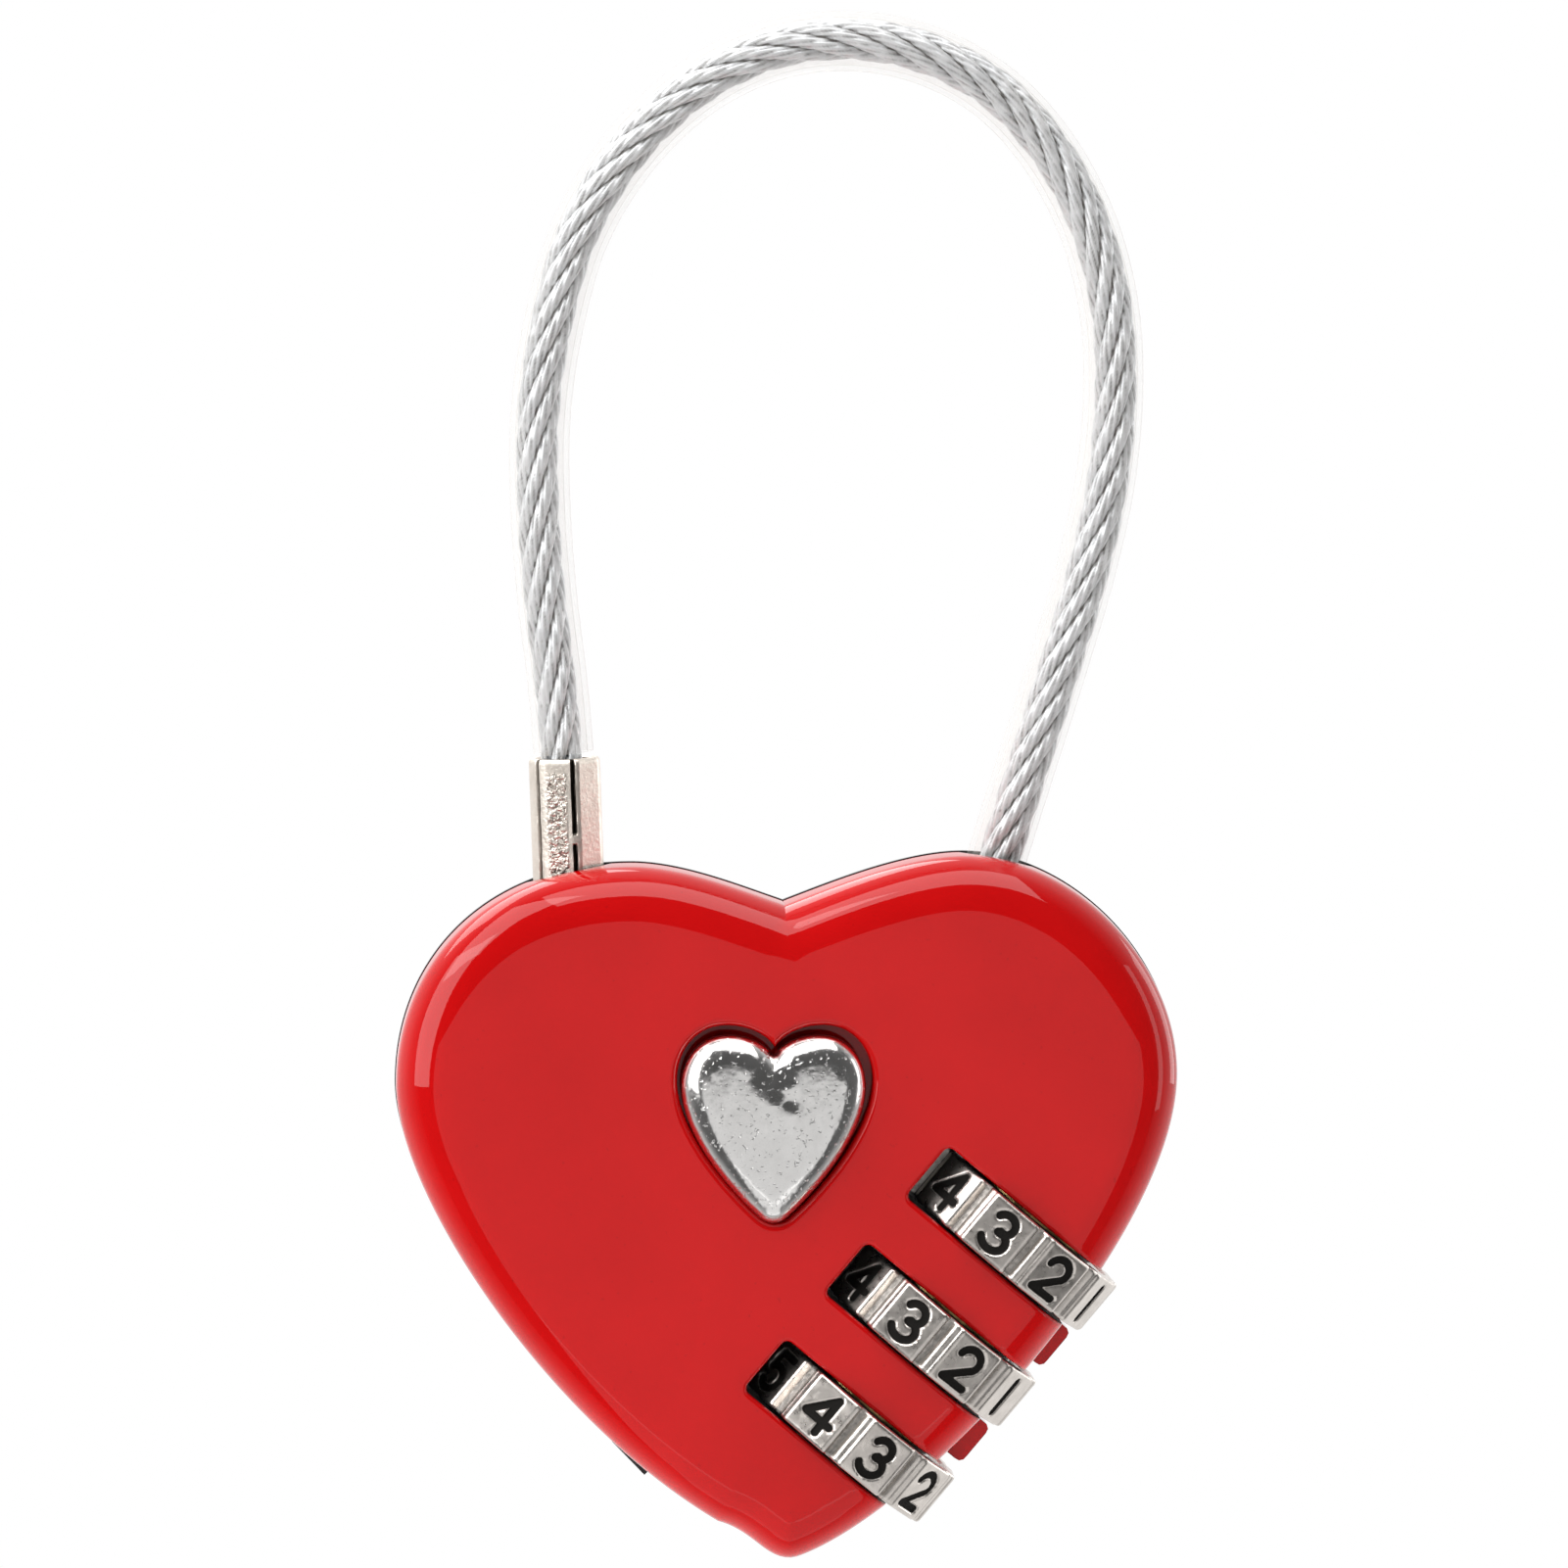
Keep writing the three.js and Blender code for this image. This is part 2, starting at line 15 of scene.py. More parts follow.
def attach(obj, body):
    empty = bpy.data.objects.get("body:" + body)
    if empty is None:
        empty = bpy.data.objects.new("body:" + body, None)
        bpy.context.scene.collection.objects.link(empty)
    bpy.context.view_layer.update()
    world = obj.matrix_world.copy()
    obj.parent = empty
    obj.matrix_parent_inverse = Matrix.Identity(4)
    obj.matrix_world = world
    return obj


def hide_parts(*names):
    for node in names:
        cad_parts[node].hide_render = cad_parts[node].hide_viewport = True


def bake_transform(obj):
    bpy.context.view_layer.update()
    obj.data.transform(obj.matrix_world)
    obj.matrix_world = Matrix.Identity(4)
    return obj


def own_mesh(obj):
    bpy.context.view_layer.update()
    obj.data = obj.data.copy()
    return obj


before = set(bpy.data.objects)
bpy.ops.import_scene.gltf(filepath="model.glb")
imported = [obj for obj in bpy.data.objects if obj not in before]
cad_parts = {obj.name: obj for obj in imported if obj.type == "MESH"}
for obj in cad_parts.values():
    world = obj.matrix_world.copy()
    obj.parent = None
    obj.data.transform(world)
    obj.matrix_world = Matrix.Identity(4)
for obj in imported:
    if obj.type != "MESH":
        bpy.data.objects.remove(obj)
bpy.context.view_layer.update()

HEART_DROP = 66.4  # the heart's middle lies this far under the hanging point


def lock_to_row(points):
    moved = np.array(points, float).reshape(-1, 3)
    return (moved - (0, 0, HEART_DROP)) / 1000


def new_object(name, data):
    obj = bpy.data.objects.new(name, data)
    bpy.context.scene.collection.objects.link(obj)
    return obj


# ---- Camera ----

AIM = Vector((0.0, 0.0, -0.0435))
VIEW_AZIMUTH = math.radians(-2.0)
VIEW_ELEVATION = math.radians(4.5)
VIEW_DISTANCE = 1.0

camera = new_object("camera", bpy.data.cameras.new("camera"))
bpy.context.scene.camera = camera
camera.data.sensor_width = 36
camera.data.lens = 372.2
camera.data.clip_start = 0.01
away = Vector((
    math.sin(VIEW_AZIMUTH) * math.cos(VIEW_ELEVATION),
    -math.cos(VIEW_AZIMUTH) * math.cos(VIEW_ELEVATION),
    math.sin(VIEW_ELEVATION),
))
camera.location = AIM + away * VIEW_DISTANCE
camera.rotation_euler = (-away).to_track_quat("-Z", "Y").to_euler()


# ---- Mesh helpers ----


def mesh_piece(name, points, faces, sharp=35.0):
    """A mesh object from points in the lock's frame. Edges sharper than `sharp` degrees stay crisp."""
    mesh = bpy.data.meshes.new(name)
    mesh.from_pydata(lock_to_row(points).tolist(), [], [list(map(int, f)) for f in faces])
    mesh.validate()
    mesh.shade_smooth()
    mesh.set_sharp_from_angle(angle=math.radians(sharp))
    return new_object(name, mesh)


def grid_faces(rows, columns, close_rows=False):
    """Quads over rows of points, each a closed ring. close_rows also joins the last row to the first."""
    faces = []
    for i in range(rows if close_rows else rows - 1):
        j = (i + 1) % rows
        for k in range(columns):
            m = (k + 1) % columns
            faces.append((i * columns + k, i * columns + m, j * columns + m, j * columns + k))
    return faces


def set_attribute(obj, name, values):
    attribute = obj.data.attributes.new(name, "FLOAT", "POINT")
    attribute.data.foreach_set("value", np.asarray(values, np.float32))


def smooth(x):
    x = np.clip(x, 0, 1)
    return x * x * (3 - 2 * x)


# ---- Outlines in x and z ----


def bezier_outline(start, curves, count):
    """Points along joined cubic curves, each given by its two handles and its end."""
    points = []
    here = np.array(start, float)
    for handle_a, handle_b, end in curves:
        a, b, end = (np.array(p, float) for p in (handle_a, handle_b, end))
        t = np.arange(count)[:, None] / count
        left = 1 - t
        points.append(left**3 * here + 3 * t * left**2 * a + 3 * t * t * left * b + t**3 * end)
        here = end
    return np.concatenate(points)


def evenly(outline, step):
    """The closed outline again, with points about `step` apart and its first point kept."""
    closed = np.vstack([outline, outline[:1]])
    run = np.concatenate([[0], np.cumsum(np.linalg.norm(np.diff(closed, axis=0), axis=1))])
    at = np.linspace(0, run[-1], int(run[-1] / step) + 1)[:-1]
    return np.column_stack([np.interp(at, run, closed[:, i]) for i in (0, 1)])


HEART = evenly(bezier_outline((0, 15.5), [
    ((-2.4, 16.3), (-6.2, 17.9), (-9.4, 17.9)),
    ((-18.4, 17.9), (-23.8, 11.9), (-23.8, 4.5)),
    ((-23.8, -2.1), (-14.6, -16.1), (-4.1, -22.4)),
    ((-1.9, -23.0), (-1.2, -24.7), (0.3, -24.7)),
    ((0.57, -24.7), (0.83, -24.6), (1.1, -24.5)),
    ((8.8, -21.5), (24.1, -4.8), (24.1, 5.1)),
    ((24.1, 12.0), (17.7, 18.5), (11.0, 18.5)),
    ((7.4, 18.5), (2.4, 16.4), (0, 15.5)),
], 60), 0.34)

BUTTON_AT = np.array([-0.85, 2.1])
BUTTON = evenly(bezier_outline((0, 4.5), [
    ((-0.5, 5.3), (-1.6, 5.8), (-2.8, 5.8)),
    ((-4.6, 5.8), (-5.67, 4.3), (-5.67, 2.6)),
    ((-5.67, -0.4), (-2.6, -3.9), (-0.8, -5.5)),
    ((-0.3, -5.9), (0.3, -5.9), (0.8, -5.5)),
    ((2.6, -3.9), (5.67, -0.4), (5.67, 2.6)),
    ((5.67, 4.3), (4.6, 5.8), (2.8, 5.8)),
    ((1.6, 5.8), (0.5, 5.3), (0, 4.5)),
], 40), 0.2) + BUTTON_AT


def outward_normals(outline):
    along = np.roll(outline, -1, 0) - np.roll(outline, 1, 0)
    along /= np.linalg.norm(along, axis=1)[:, None]
    return np.column_stack([along[:, 1], -along[:, 0]])


def inside(points, polygon):
    x, z = points[:, 0][:, None], points[:, 1][:, None]
    ax, az = polygon[:, 0], polygon[:, 1]
    bx, bz = np.roll(ax, -1), np.roll(az, -1)
    crosses = (az > z) != (bz > z)
    with np.errstate(divide="ignore", invalid="ignore"):
        hit = x < (bx - ax) * (z - az) / (bz - az) + ax
    return (np.sum(crosses & hit, axis=1) % 2) == 1


def signed_depth(points, polygon):
    """How far each point lies inside the polygon, and below 0 outside it."""
    a = polygon
    d = np.roll(a, -1, 0) - a
    length = np.maximum((d**2).sum(1), 1e-12)
    best = np.full(len(points), np.inf)
    for i in range(0, len(points), 2000):
        p = points[i:i + 2000, None] - a
        t = np.clip((p * d).sum(2) / length, 0, 1)
        best[i:i + 2000] = np.sqrt((((p - d * t[..., None]) ** 2).sum(2)).min(1))
    return np.where(inside(points, polygon), best, -best)


class HeartField:
    """Depth inside a heart outline that starts at its cleft, with a crisp crease under the cleft."""

    def __init__(self, outline):
        self.outline = outline
        self.left = self.lobe(outline, outline[0] - outline[1])
        mirrored = np.vstack([outline[:1], outline[:0:-1]])
        self.right = self.lobe(mirrored, mirrored[0] - mirrored[1])

    @staticmethod
    def lobe(outline, direction):
        """The outline, cut by the line that carries its first curve on past the cleft."""
        normal = np.array([-direction[1], direction[0]])
        side = (outline - outline[0]) @ normal
        ahead = (outline - outline[0]) @ direction > 1
        crossing = [i for i in range(2, len(outline) - 1) if ahead[i] and side[i] * side[i + 1] <= 0]
        return outline[:crossing[0] + 2]

    def depth(self, points):
        return np.maximum(signed_depth(points, self.left), signed_depth(points, self.right))

    def rings(self, depths):
        """Offset outlines at the given depths, where they really have that depth."""
        normals = outward_normals(self.outline)
        found = []
        for depth in depths:
            ring = self.outline - normals * depth
            good = np.abs(self.depth(ring) - depth) < 0.02 + 0.04 * abs(depth)
            found.append((ring, good))
        return found


# ---- Dial frame ----

DIAL_AT = np.array([8.85, -10.87])
DIAL_TILT = math.radians(40)
OUT = np.array([math.cos(DIAL_TILT), -math.sin(DIAL_TILT)])  # out of the case's edge
AXLE = np.array([math.sin(DIAL_TILT), math.cos(DIAL_TILT)])
DIAL_STEPS = (-7.75, 0.0, 7.75)
RIB_STEPS = (-3.875, 3.875)
LUG_REACH = 7.05
LUG_HALF = 1.45
LUG_ROOT = 4.4  # the lugs start this far out, inside the case
LUG_CORNER = 0.4
LUG_EDGE = 0.35  # radius of the lugs' rounded back edge
LUG_SHIFT = 0.2  # the lugs stand a little towards the upper wheel
SLOT_HALF = 2.05
SLOT_START = -6.85
SLOT_CORNER = 0.45
WHEEL_ROOM = 7.7  # radius of the hollow each wheel turns in
SPINDLE_ROOM = 1.45  # radius of the channel along the axle


def dial_coordinates(points):
    return (points - DIAL_AT) @ OUT, (points - DIAL_AT) @ AXLE


def from_dial(t, s):
    return DIAL_AT + np.outer(t, OUT) + np.outer(s, AXLE)


def slot_distance(points):
    """Distance outside the nearest wheel slot, and below 0 inside one."""
    t, s = dial_coordinates(points)
    nearest = np.full(len(points), np.inf)
    for step in DIAL_STEPS:
        a = np.abs(s - step) - (SLOT_HALF - SLOT_CORNER)
        b = -t + SLOT_START + SLOT_CORNER
        outside = np.hypot(np.maximum(a, 0), np.maximum(b, 0))
        nearest = np.minimum(nearest, outside + np.minimum(np.maximum(a, b), 0) - SLOT_CORNER)
    return nearest


def slot_outline(step, grow, reach=16.0, spacing=0.4):
    """The slot's edge moved out by grow: along one side, round the inner end and back along the other."""
    half, corner = SLOT_HALF - SLOT_CORNER, SLOT_CORNER + grow
    inner = SLOT_START + SLOT_CORNER
    straight = np.arange(reach, inner, -spacing)
    points = [(t, step - half - corner) for t in straight]
    for centre, start in ((-half, 270), (half, 180)):
        for angle in np.radians(start - np.arange(0, 91, 15)):
            points.append((inner + corner * math.cos(angle), step + centre + corner * math.sin(angle)))
    points += [(t, step + half + corner) for t in straight[::-1]]
    t, s = np.array(points).T
    return from_dial(t, s)


def lug_outline(middle, shrink):
    """The edge of the lug whose middle is there, moved in by shrink."""
    half, reach, corner = LUG_HALF - LUG_CORNER, LUG_REACH - LUG_CORNER, LUG_CORNER - shrink
    points = [(LUG_ROOT, middle - half - corner)]
    for side, start in ((-1, -90), (1, 0)):
        for angle in np.radians(start + np.arange(0, 91, 15)):
            centre = middle + side * half
            points.append((reach + corner * math.cos(angle), centre + corner * math.sin(angle)))
    points.append((LUG_ROOT, middle + half + corner))
    t, s = np.array(points).T
    return evenly(from_dial(t, s), 0.3)


# ---- Case halves ----

LEAN = {
    "ferrule": (np.array([-13.3, 17.3]), math.radians(-2.05)),
    "anchor": (np.array([13.0, 17.8]), math.radians(16.9)),
}
RIVETS = {"left": (-17.5, 0.0), "right": (18.2, 7.2), "tip": (-6.5, -13.5)}
RIVET_BORE = 1.5
RIVET_POST = 2.5
RIVET_RECESS = 2.3
SHOULDER = 3.0  # radius of the case's rounded edge
WALL = 1.34
RIM = 0.15  # each half stops this far from the parting plane
SKIN = 0.4  # the least thickness of either half
SLOT_EDGE = 0.3  # radius of the slots' rounded edges
POCKET_EDGE = 0.5
POCKET_SHIFT = np.array([0.09, 0.3])
POCKET_FLOOR = 3.8
STEM_HOLE = 1.9
POCKET = (BUTTON - BUTTON_AT) * (1.06, 1.05) + BUTTON_AT + POCKET_SHIFT
LIP_SHIFT = np.array([-0.07, 0.06])
FRONT_OFFSET = 0.12  # how far each half's edge stands outside the heart
BACK_OFFSET = 0.17
SEAM_SHADE_WIDTH = 0.207  # width of the painted shade line round the back half, near black for the shadow in the gap between the halves
SEAM_STEP = 0.36  # the back half's shoulder starts this far in


def rounded(depth, reach, low, high):
    """A quarter-round edge: low at depth 0, high from depth `reach` on."""
    x = 1 - np.clip(depth / reach, 0, 1)
    return low + (high - low) * np.sqrt(np.clip(1 - x * x, 0, 1))


def edge_drop(distance, radius):
    """How much a rounded-over edge falls, at a distance from it."""
    x = np.clip(1 - distance / radius, 0, 1)
    return radius - radius * np.sqrt(np.clip(1 - x * x, 0, 1))


def bore_half(points, at, lean, radius, low, high):
    """Half-height of a bore in the parting plane that leans from upright and runs from low to high."""
    up = np.array([math.sin(lean), math.cos(lean)])
    side = np.array([math.cos(lean), -math.sin(lean)])
    along, across = (points - at) @ up, (points - at) @ side
    depth = np.sqrt(np.clip(radius**2 - across**2, 0, None))
    return np.where((along > low) & (along < high), depth, 0)


def inner_height(points, depth, front):
    """Distance from the parting plane to the inner face of one half of the case."""
    t, s = dial_coordinates(points)
    cavity = np.interp(depth, [WALL, 1.38, 2.0, 2.9], [RIM, 2.8, 4.0, 4.7])
    ribbed = (t > -7.4) & (np.abs(s) < 10.6)
    height = np.where(ribbed, RIM, cavity)
    channel = np.sqrt(np.clip(SPINDLE_ROOM**2 - t**2, 0, None))
    height = np.maximum(height, np.where((s > -13.2) & (s < 17), channel, 0))
    hollow = np.sqrt(np.clip(WHEEL_ROOM**2 - t**2, 0, None))
    for step in DIAL_STEPS:
        beside = np.abs(s - step) < SLOT_HALF + 0.02
        height = np.maximum(height, np.where(beside, hollow, 0))
    for name, radius in (("ferrule", 2.5), ("anchor", 2.25)):
        at, lean = LEAN[name]
        height = np.maximum(height, bore_half(points, at, lean, radius, -12, 4))
    at, lean = LEAN["anchor"]
    height = np.maximum(height, bore_half(points, at, lean, 2.8, -9, -1.5))
    for x, z in RIVETS.values():
        r = np.hypot(points[:, 0] - x, points[:, 1] - z)
        post = np.where(r < RIVET_BORE, 3.9 if front else 6.5, RIM)
        height = np.where(r < RIVET_POST, post, height)
    return height


def front_heights(points, field):
    depth = field.depth(points)
    dome = 5.72 + 0.42 * (1 - np.clip((points[:, 0] / 25) ** 2 + ((points[:, 1] + 2.5) / 23) ** 2, 0, 1))
    height = rounded(depth, SHOULDER, 3.0, dome)
    height = height - edge_drop(np.maximum(slot_distance(points), 0), SLOT_EDGE)
    pocket = signed_depth(points, POCKET)
    height = height - edge_drop(np.maximum(-pocket, 0), POCKET_EDGE)
    outer = np.where(pocket > 0.012, POCKET_FLOOR, height)
    inner = inner_height(points, depth, True)
    inner = np.where(pocket > -1.1, 2.8, np.minimum(inner, height - SKIN))
    return outer, inner


def lug_distance(points):
    """How far each point lies inside a lug, and below 0 outside them. Their outer corners are round."""
    t, s = dial_coordinates(points)
    nearest = np.full(len(points), -np.inf)
    for step in RIB_STEPS:
        a = t - (LUG_REACH - LUG_CORNER)
        b = np.abs(s - step - LUG_SHIFT) - (LUG_HALF - LUG_CORNER)
        outside = np.hypot(np.maximum(a, 0), np.maximum(b, 0)) + np.minimum(np.maximum(a, b), 0)
        nearest = np.maximum(nearest, np.minimum(LUG_CORNER - outside, t - LUG_ROOT))
    return nearest


def back_heights(points, field):
    depth = field.depth(points)
    wall = np.interp(depth, [0.2, 0.215, SEAM_STEP], [0.62, 0.7, 3.0])
    height = np.where(depth < SEAM_STEP, wall, rounded(depth - SEAM_STEP, SHOULDER, 3.0, 6.0))
    height = height - edge_drop(np.maximum(slot_distance(points), 0), SLOT_EDGE) * (depth > SEAM_STEP)
    lug = lug_distance(points)
    height = np.where(lug > -1e-6, np.maximum(height, 3.0 - edge_drop(lug, LUG_EDGE)), height)
    for x, z in RIVETS.values():
        r = np.hypot(points[:, 0] - x, points[:, 1] - z)
        height = np.where(r < RIVET_RECESS, 5.2, height)
    inner = inner_height(points, depth, False)
    return height, np.minimum(inner, height - SKIN)


def rivet_distance(points):
    """Distance from the axis of the nearest rivet."""
    return np.min([np.hypot(points[:, 0] - x, points[:, 1] - z) for x, z in RIVETS.values()], axis=0)


def circle(x, z, radius, count=28):
    angle = np.arange(count) / count * 2 * math.pi
    return np.column_stack([x + radius * np.cos(angle), z + radius * np.sin(angle)])


class Plan:
    """Points and edges in x and z that a layered solid is triangulated from."""

    def __init__(self):
        self.points, self.edges, self.count = [], [], 0

    def add(self, points, chain=True, closed=True, good=None):
        points = np.asarray(points, float)
        good = np.ones(len(points), bool) if good is None else good
        index = np.cumsum(good) - 1 + self.count
        self.points.append(points[good])
        if chain:
            last = len(points) if closed else len(points) - 1
            for i in range(last):
                j = (i + 1) % len(points)
                if good[i] and good[j]:
                    self.edges.append((int(index[i]), int(index[j])))
        self.count += int(good.sum())

    def triangles(self, keep):
        points = np.concatenate(self.points)
        found = delaunay_2d_cdt([Vector(p) for p in points], self.edges, [], 0, 1e-5)
        vertices = np.array([tuple(v) for v in found[0]])
        faces = np.array(found[2])
        centres = vertices[faces].mean(1)
        faces = faces[keep(centres)]
        a, b, c = (vertices[faces[:, i]] for i in range(3))
        area = (b - a)[:, 0] * (c - a)[:, 1] - (b - a)[:, 1] * (c - a)[:, 0]
        faces = faces[np.abs(area) > 1e-7]
        turned = area[np.abs(area) > 1e-7] < 0
        faces[turned] = faces[turned][:, ::-1]
        used = np.unique(faces)
        renumber = np.full(len(vertices), -1)
        renumber[used] = np.arange(len(used))
        return vertices[used], renumber[faces]


def hexagons(reach_x, reach_z, spacing):
    """Points in a triangular pattern, which fill a plan evenly."""
    rows = []
    for i, z in enumerate(np.arange(-reach_z, reach_z, spacing * 0.866)):
        x = np.arange(-reach_x, reach_x, spacing) + (i % 2) * spacing / 2
        rows.append(np.column_stack([x, np.full(len(x), z)]))
    return np.concatenate(rows)


def layered_solid(name, plan, keep, heights, side, sharp=35.0):
    """A closed solid between two heights over a plan. side is -1 for heights that run to the front."""
    flat, faces = plan.triangles(keep)
    outer, inner = heights(flat)
    n = len(flat)
    points = np.vstack([
        np.column_stack([flat[:, 0], side * outer, flat[:, 1]]),
        np.column_stack([flat[:, 0], side * inner, flat[:, 1]]),
    ])
    directed = {(int(f[i]), int(f[(i + 1) % 3])) for f in faces for i in range(3)}
    rim = [(a, b) for a, b in directed if (b, a) not in directed]
    rim.sort()
    made = [tuple(f) for f in faces]
    made += [tuple(f[::-1] + n) for f in faces]
    made += [(b, a, a + n, b + n) for a, b in rim]
    if side > 0:
        made = [f[::-1] for f in made]
    solid = mesh_piece(name, points, made, sharp)
    middles = np.array([(flat[a] + flat[b]) / 2 for a, b in rim])
    # Painted shade: the inner faces, except on the lugs, and the slot walls get the black second material,
    # which darkens the inside of the case and the wheel windows.
    painted_inside_shade = np.zeros(len(made), bool)
    painted_inside_shade[len(faces):2 * len(faces)] = lug_distance(flat[faces].mean(1)) < 0
    painted_inside_shade[2 * len(faces):] = np.abs(slot_distance(middles)) < 0.02
    solid.data.polygons.foreach_set("material_index", painted_inside_shade.astype(np.int32))
    return solid, flat


SHOULDER_DEPTHS = [SHOULDER * (1 - math.cos(math.radians(a))) for a in range(10, 91, 10)]


def add_slots(plan, field):
    for step in DIAL_STEPS:
        for grow in (0, 0.04, 0.12, 0.2, SLOT_EDGE):
            edge = slot_outline(step, grow)
            plan.add(edge, closed=False, good=field.depth(edge) > -0.5)


def front_shell():
    outline = HEART + outward_normals(HEART) * FRONT_OFFSET + LIP_SHIFT
    field = HeartField(outline)
    plan = Plan()
    plan.add(outline)
    for ring, good in field.rings(SHOULDER_DEPTHS + [WALL, 1.38, 3.5]):
        plan.add(ring, good=good)
    plan.add([(0, 15.5 - 0.25 * i) for i in range(1, 15)], closed=False)
    add_slots(plan, field)
    normals = outward_normals(POCKET)
    for grow in (0.7, POCKET_EDGE, 0.36, 0.22, 0.1, 0.03, 0, -0.02, -0.3):
        plan.add(POCKET + normals * grow)
    plan.add(circle(*BUTTON_AT, STEM_HOLE))
    for x, z in RIVETS.values():
        for radius in (RIVET_BORE - 0.02, RIVET_BORE + 0.02, RIVET_POST - 0.02, RIVET_POST + 0.02):
            plan.add(circle(x, z, radius))
    fill = hexagons(25, 26, 0.8)
    clear = (field.depth(fill) > 3.7) & (slot_distance(fill) > 0.5)
    clear &= (signed_depth(fill, POCKET) < -0.9) | (signed_depth(fill, POCKET) > 0.7)
    plan.add(fill[clear], chain=False)
    across = np.array([-SPINDLE_ROOM, -1.2, -0.7, 0, 0.7, 1.2, SPINDLE_ROOM])
    along = np.linspace(-13.2, 15, 60)
    axle = from_dial(np.repeat(across, len(along)), np.tile(along, len(across)))
    plan.add(axle[(field.depth(axle) > 1.5) & (slot_distance(axle) > 0.35)], chain=False)

    def keep(points):
        stem = np.hypot(*(points - BUTTON_AT).T) < STEM_HOLE - 0.02
        return (field.depth(points) > 0) & (slot_distance(points) > 0) & ~stem

    return layered_solid("front_shell_painted", plan, keep, lambda p: front_heights(p, field), -1)[0]


def back_shell():
    outline = HEART + outward_normals(HEART) * BACK_OFFSET + LIP_SHIFT
    field = HeartField(outline)
    plan = Plan()
    plan.add(outline)
    shoulder = [SEAM_STEP + depth for depth in [0.0] + SHOULDER_DEPTHS]
    for ring, good in field.rings([0.2, 0.215] + shoulder + [3.9]):
        plan.add(ring, good=good)
    plan.add([(0, 15.5 - 0.25 * i) for i in range(1, 16)], closed=False)
    add_slots(plan, field)
    for step in RIB_STEPS:
        for shrink in (0, 0.04, 0.12, 0.22, LUG_EDGE):
            plan.add(lug_outline(step + LUG_SHIFT, shrink))
    for x, z in RIVETS.values():
        for radius in (RIVET_BORE, RIVET_RECESS - 0.02, RIVET_RECESS + 0.02, 2.6):
            plan.add(circle(x, z, radius))
    fill = hexagons(25, 26, 0.9)
    clear = (field.depth(fill) > 4.1) & (slot_distance(fill) > 0.5) & (rivet_distance(fill) > 2.9)
    plan.add(fill[clear], chain=False)

    def keep(points):
        body = (field.depth(points) > 0) | (lug_distance(points) > 0)
        return body & (slot_distance(points) > 0) & (rivet_distance(points) > RIVET_BORE)

    shell, flat = layered_solid("back_shell_painted", plan, keep, lambda p: back_heights(p, field), 1)
    depth = field.depth(flat)
    # Painted shade: the rim land and the lip's side wall along the parting line are painted near black, for
    # the shadow in the gap between the halves.
    seam_shade = (depth < SEAM_SHADE_WIDTH) & (lug_distance(flat) < 0)
    height = np.array([v.co.y for v in shell.data.vertices]) * 1000
    seam_shade = np.concatenate([seam_shade, seam_shade]) & (height < 1.0)
    set_attribute(shell, "seam_shade", seam_shade)
    return shell


# ---- Button ----

BUTTON_ROUNDING = 1.75
BUTTON_EDGE = 5.95  # the edge and the face stand this far from the parting plane
BUTTON_FACE = 7.12
BUTTON_BULGE = 0.3
STEM_RADIUS = 1.6


def release_button():
    field = HeartField(BUTTON)
    plan = Plan()
    plan.add(BUTTON)
    depths = [BUTTON_ROUNDING * (1 - math.cos(math.radians(a))) for a in (12, 24, 36, 48, 60, 72, 84, 90)]
    for ring, good in field.rings(depths):
        plan.add(ring, good=good)
    plan.add([(BUTTON_AT[0], BUTTON_AT[1] + 4.5 - 0.15 * i) for i in range(1, 14)], closed=False)
    plan.add(circle(*BUTTON_AT, STEM_RADIUS))
    plan.add(circle(*BUTTON_AT, STEM_RADIUS + 0.02))
    fill = hexagons(7, 8, 0.35) + BUTTON_AT
    plan.add(fill[field.depth(fill) > BUTTON_ROUNDING + 0.15], chain=False)

    def heights(points):
        from_middle = points - BUTTON_AT
        from_top = np.clip((from_middle**2 / np.square((5.6, 5.8))).sum(1), 0, 1)
        dent = 0.13 * np.exp(-(np.hypot(*(from_middle - (1.0, 1.9)).T) / 0.45) ** 2)
        face = BUTTON_FACE + BUTTON_BULGE * (1 - from_top) - dent
        outer = rounded(field.depth(points), BUTTON_ROUNDING, BUTTON_EDGE, face)
        stem = np.hypot(*from_middle.T) < STEM_RADIUS + 0.01
        inner = np.where(stem, -np.minimum(2.0, 1.9 - points[:, 0]), 5.3)
        return outer, inner

    def keep(points):
        return field.depth(points) > 0

    return layered_solid("release_button_chromed", plan, keep, heights, -1, 50)[0]


# ---- Number wheels ----


def arc(x, z, rx, rz, start, end, count=20):
    angle = np.radians(np.linspace(start, end, count))
    return [(x + rx * math.cos(a), z + rz * math.sin(a)) for a in angle]


SIX = [[(0.5, 1.1), (0.05, 0.75), (-0.45, 0.2), (-0.66, -0.3)], arc(0, -0.43, 0.67, 0.67, 0, 360, 22)]
DIGITS = [
    [arc(0, 0, 0.7, 1.1, 0, 360, 26)],
    [[(0.0, 1.1), (0.0, -1.1)]],
    [arc(0, 0.44, 0.7, 0.66, 170, -32) + [(-0.78, -1.1), (0.8, -1.1)]],
    [
        arc(-0.05, 0.54, 0.62, 0.56, 155, -80) + [(-0.12, 0.0)],
        [(-0.12, 0.0)] + arc(-0.05, -0.5, 0.75, 0.6, 85, -155),
    ],
    [[(0.88, -0.42), (-0.85, -0.42), (0.4, 1.1), (0.4, -1.1)]],
    [[(0.68, 1.1), (-0.5, 1.1), (-0.62, 0.1)] + arc(0, -0.38, 0.74, 0.72, 135, -148)],
    SIX,
    [[(-0.75, 1.1), (0.78, 1.1), (-0.12, -1.1)]],
    [arc(0, 0.55, 0.55, 0.54, 0, 360, 22), arc(0, -0.52, 0.7, 0.58, 0, 360, 24)],
    [[(-x, -z) for x, z in stroke] for stroke in SIX],
]
STROKE_HALF = 0.235


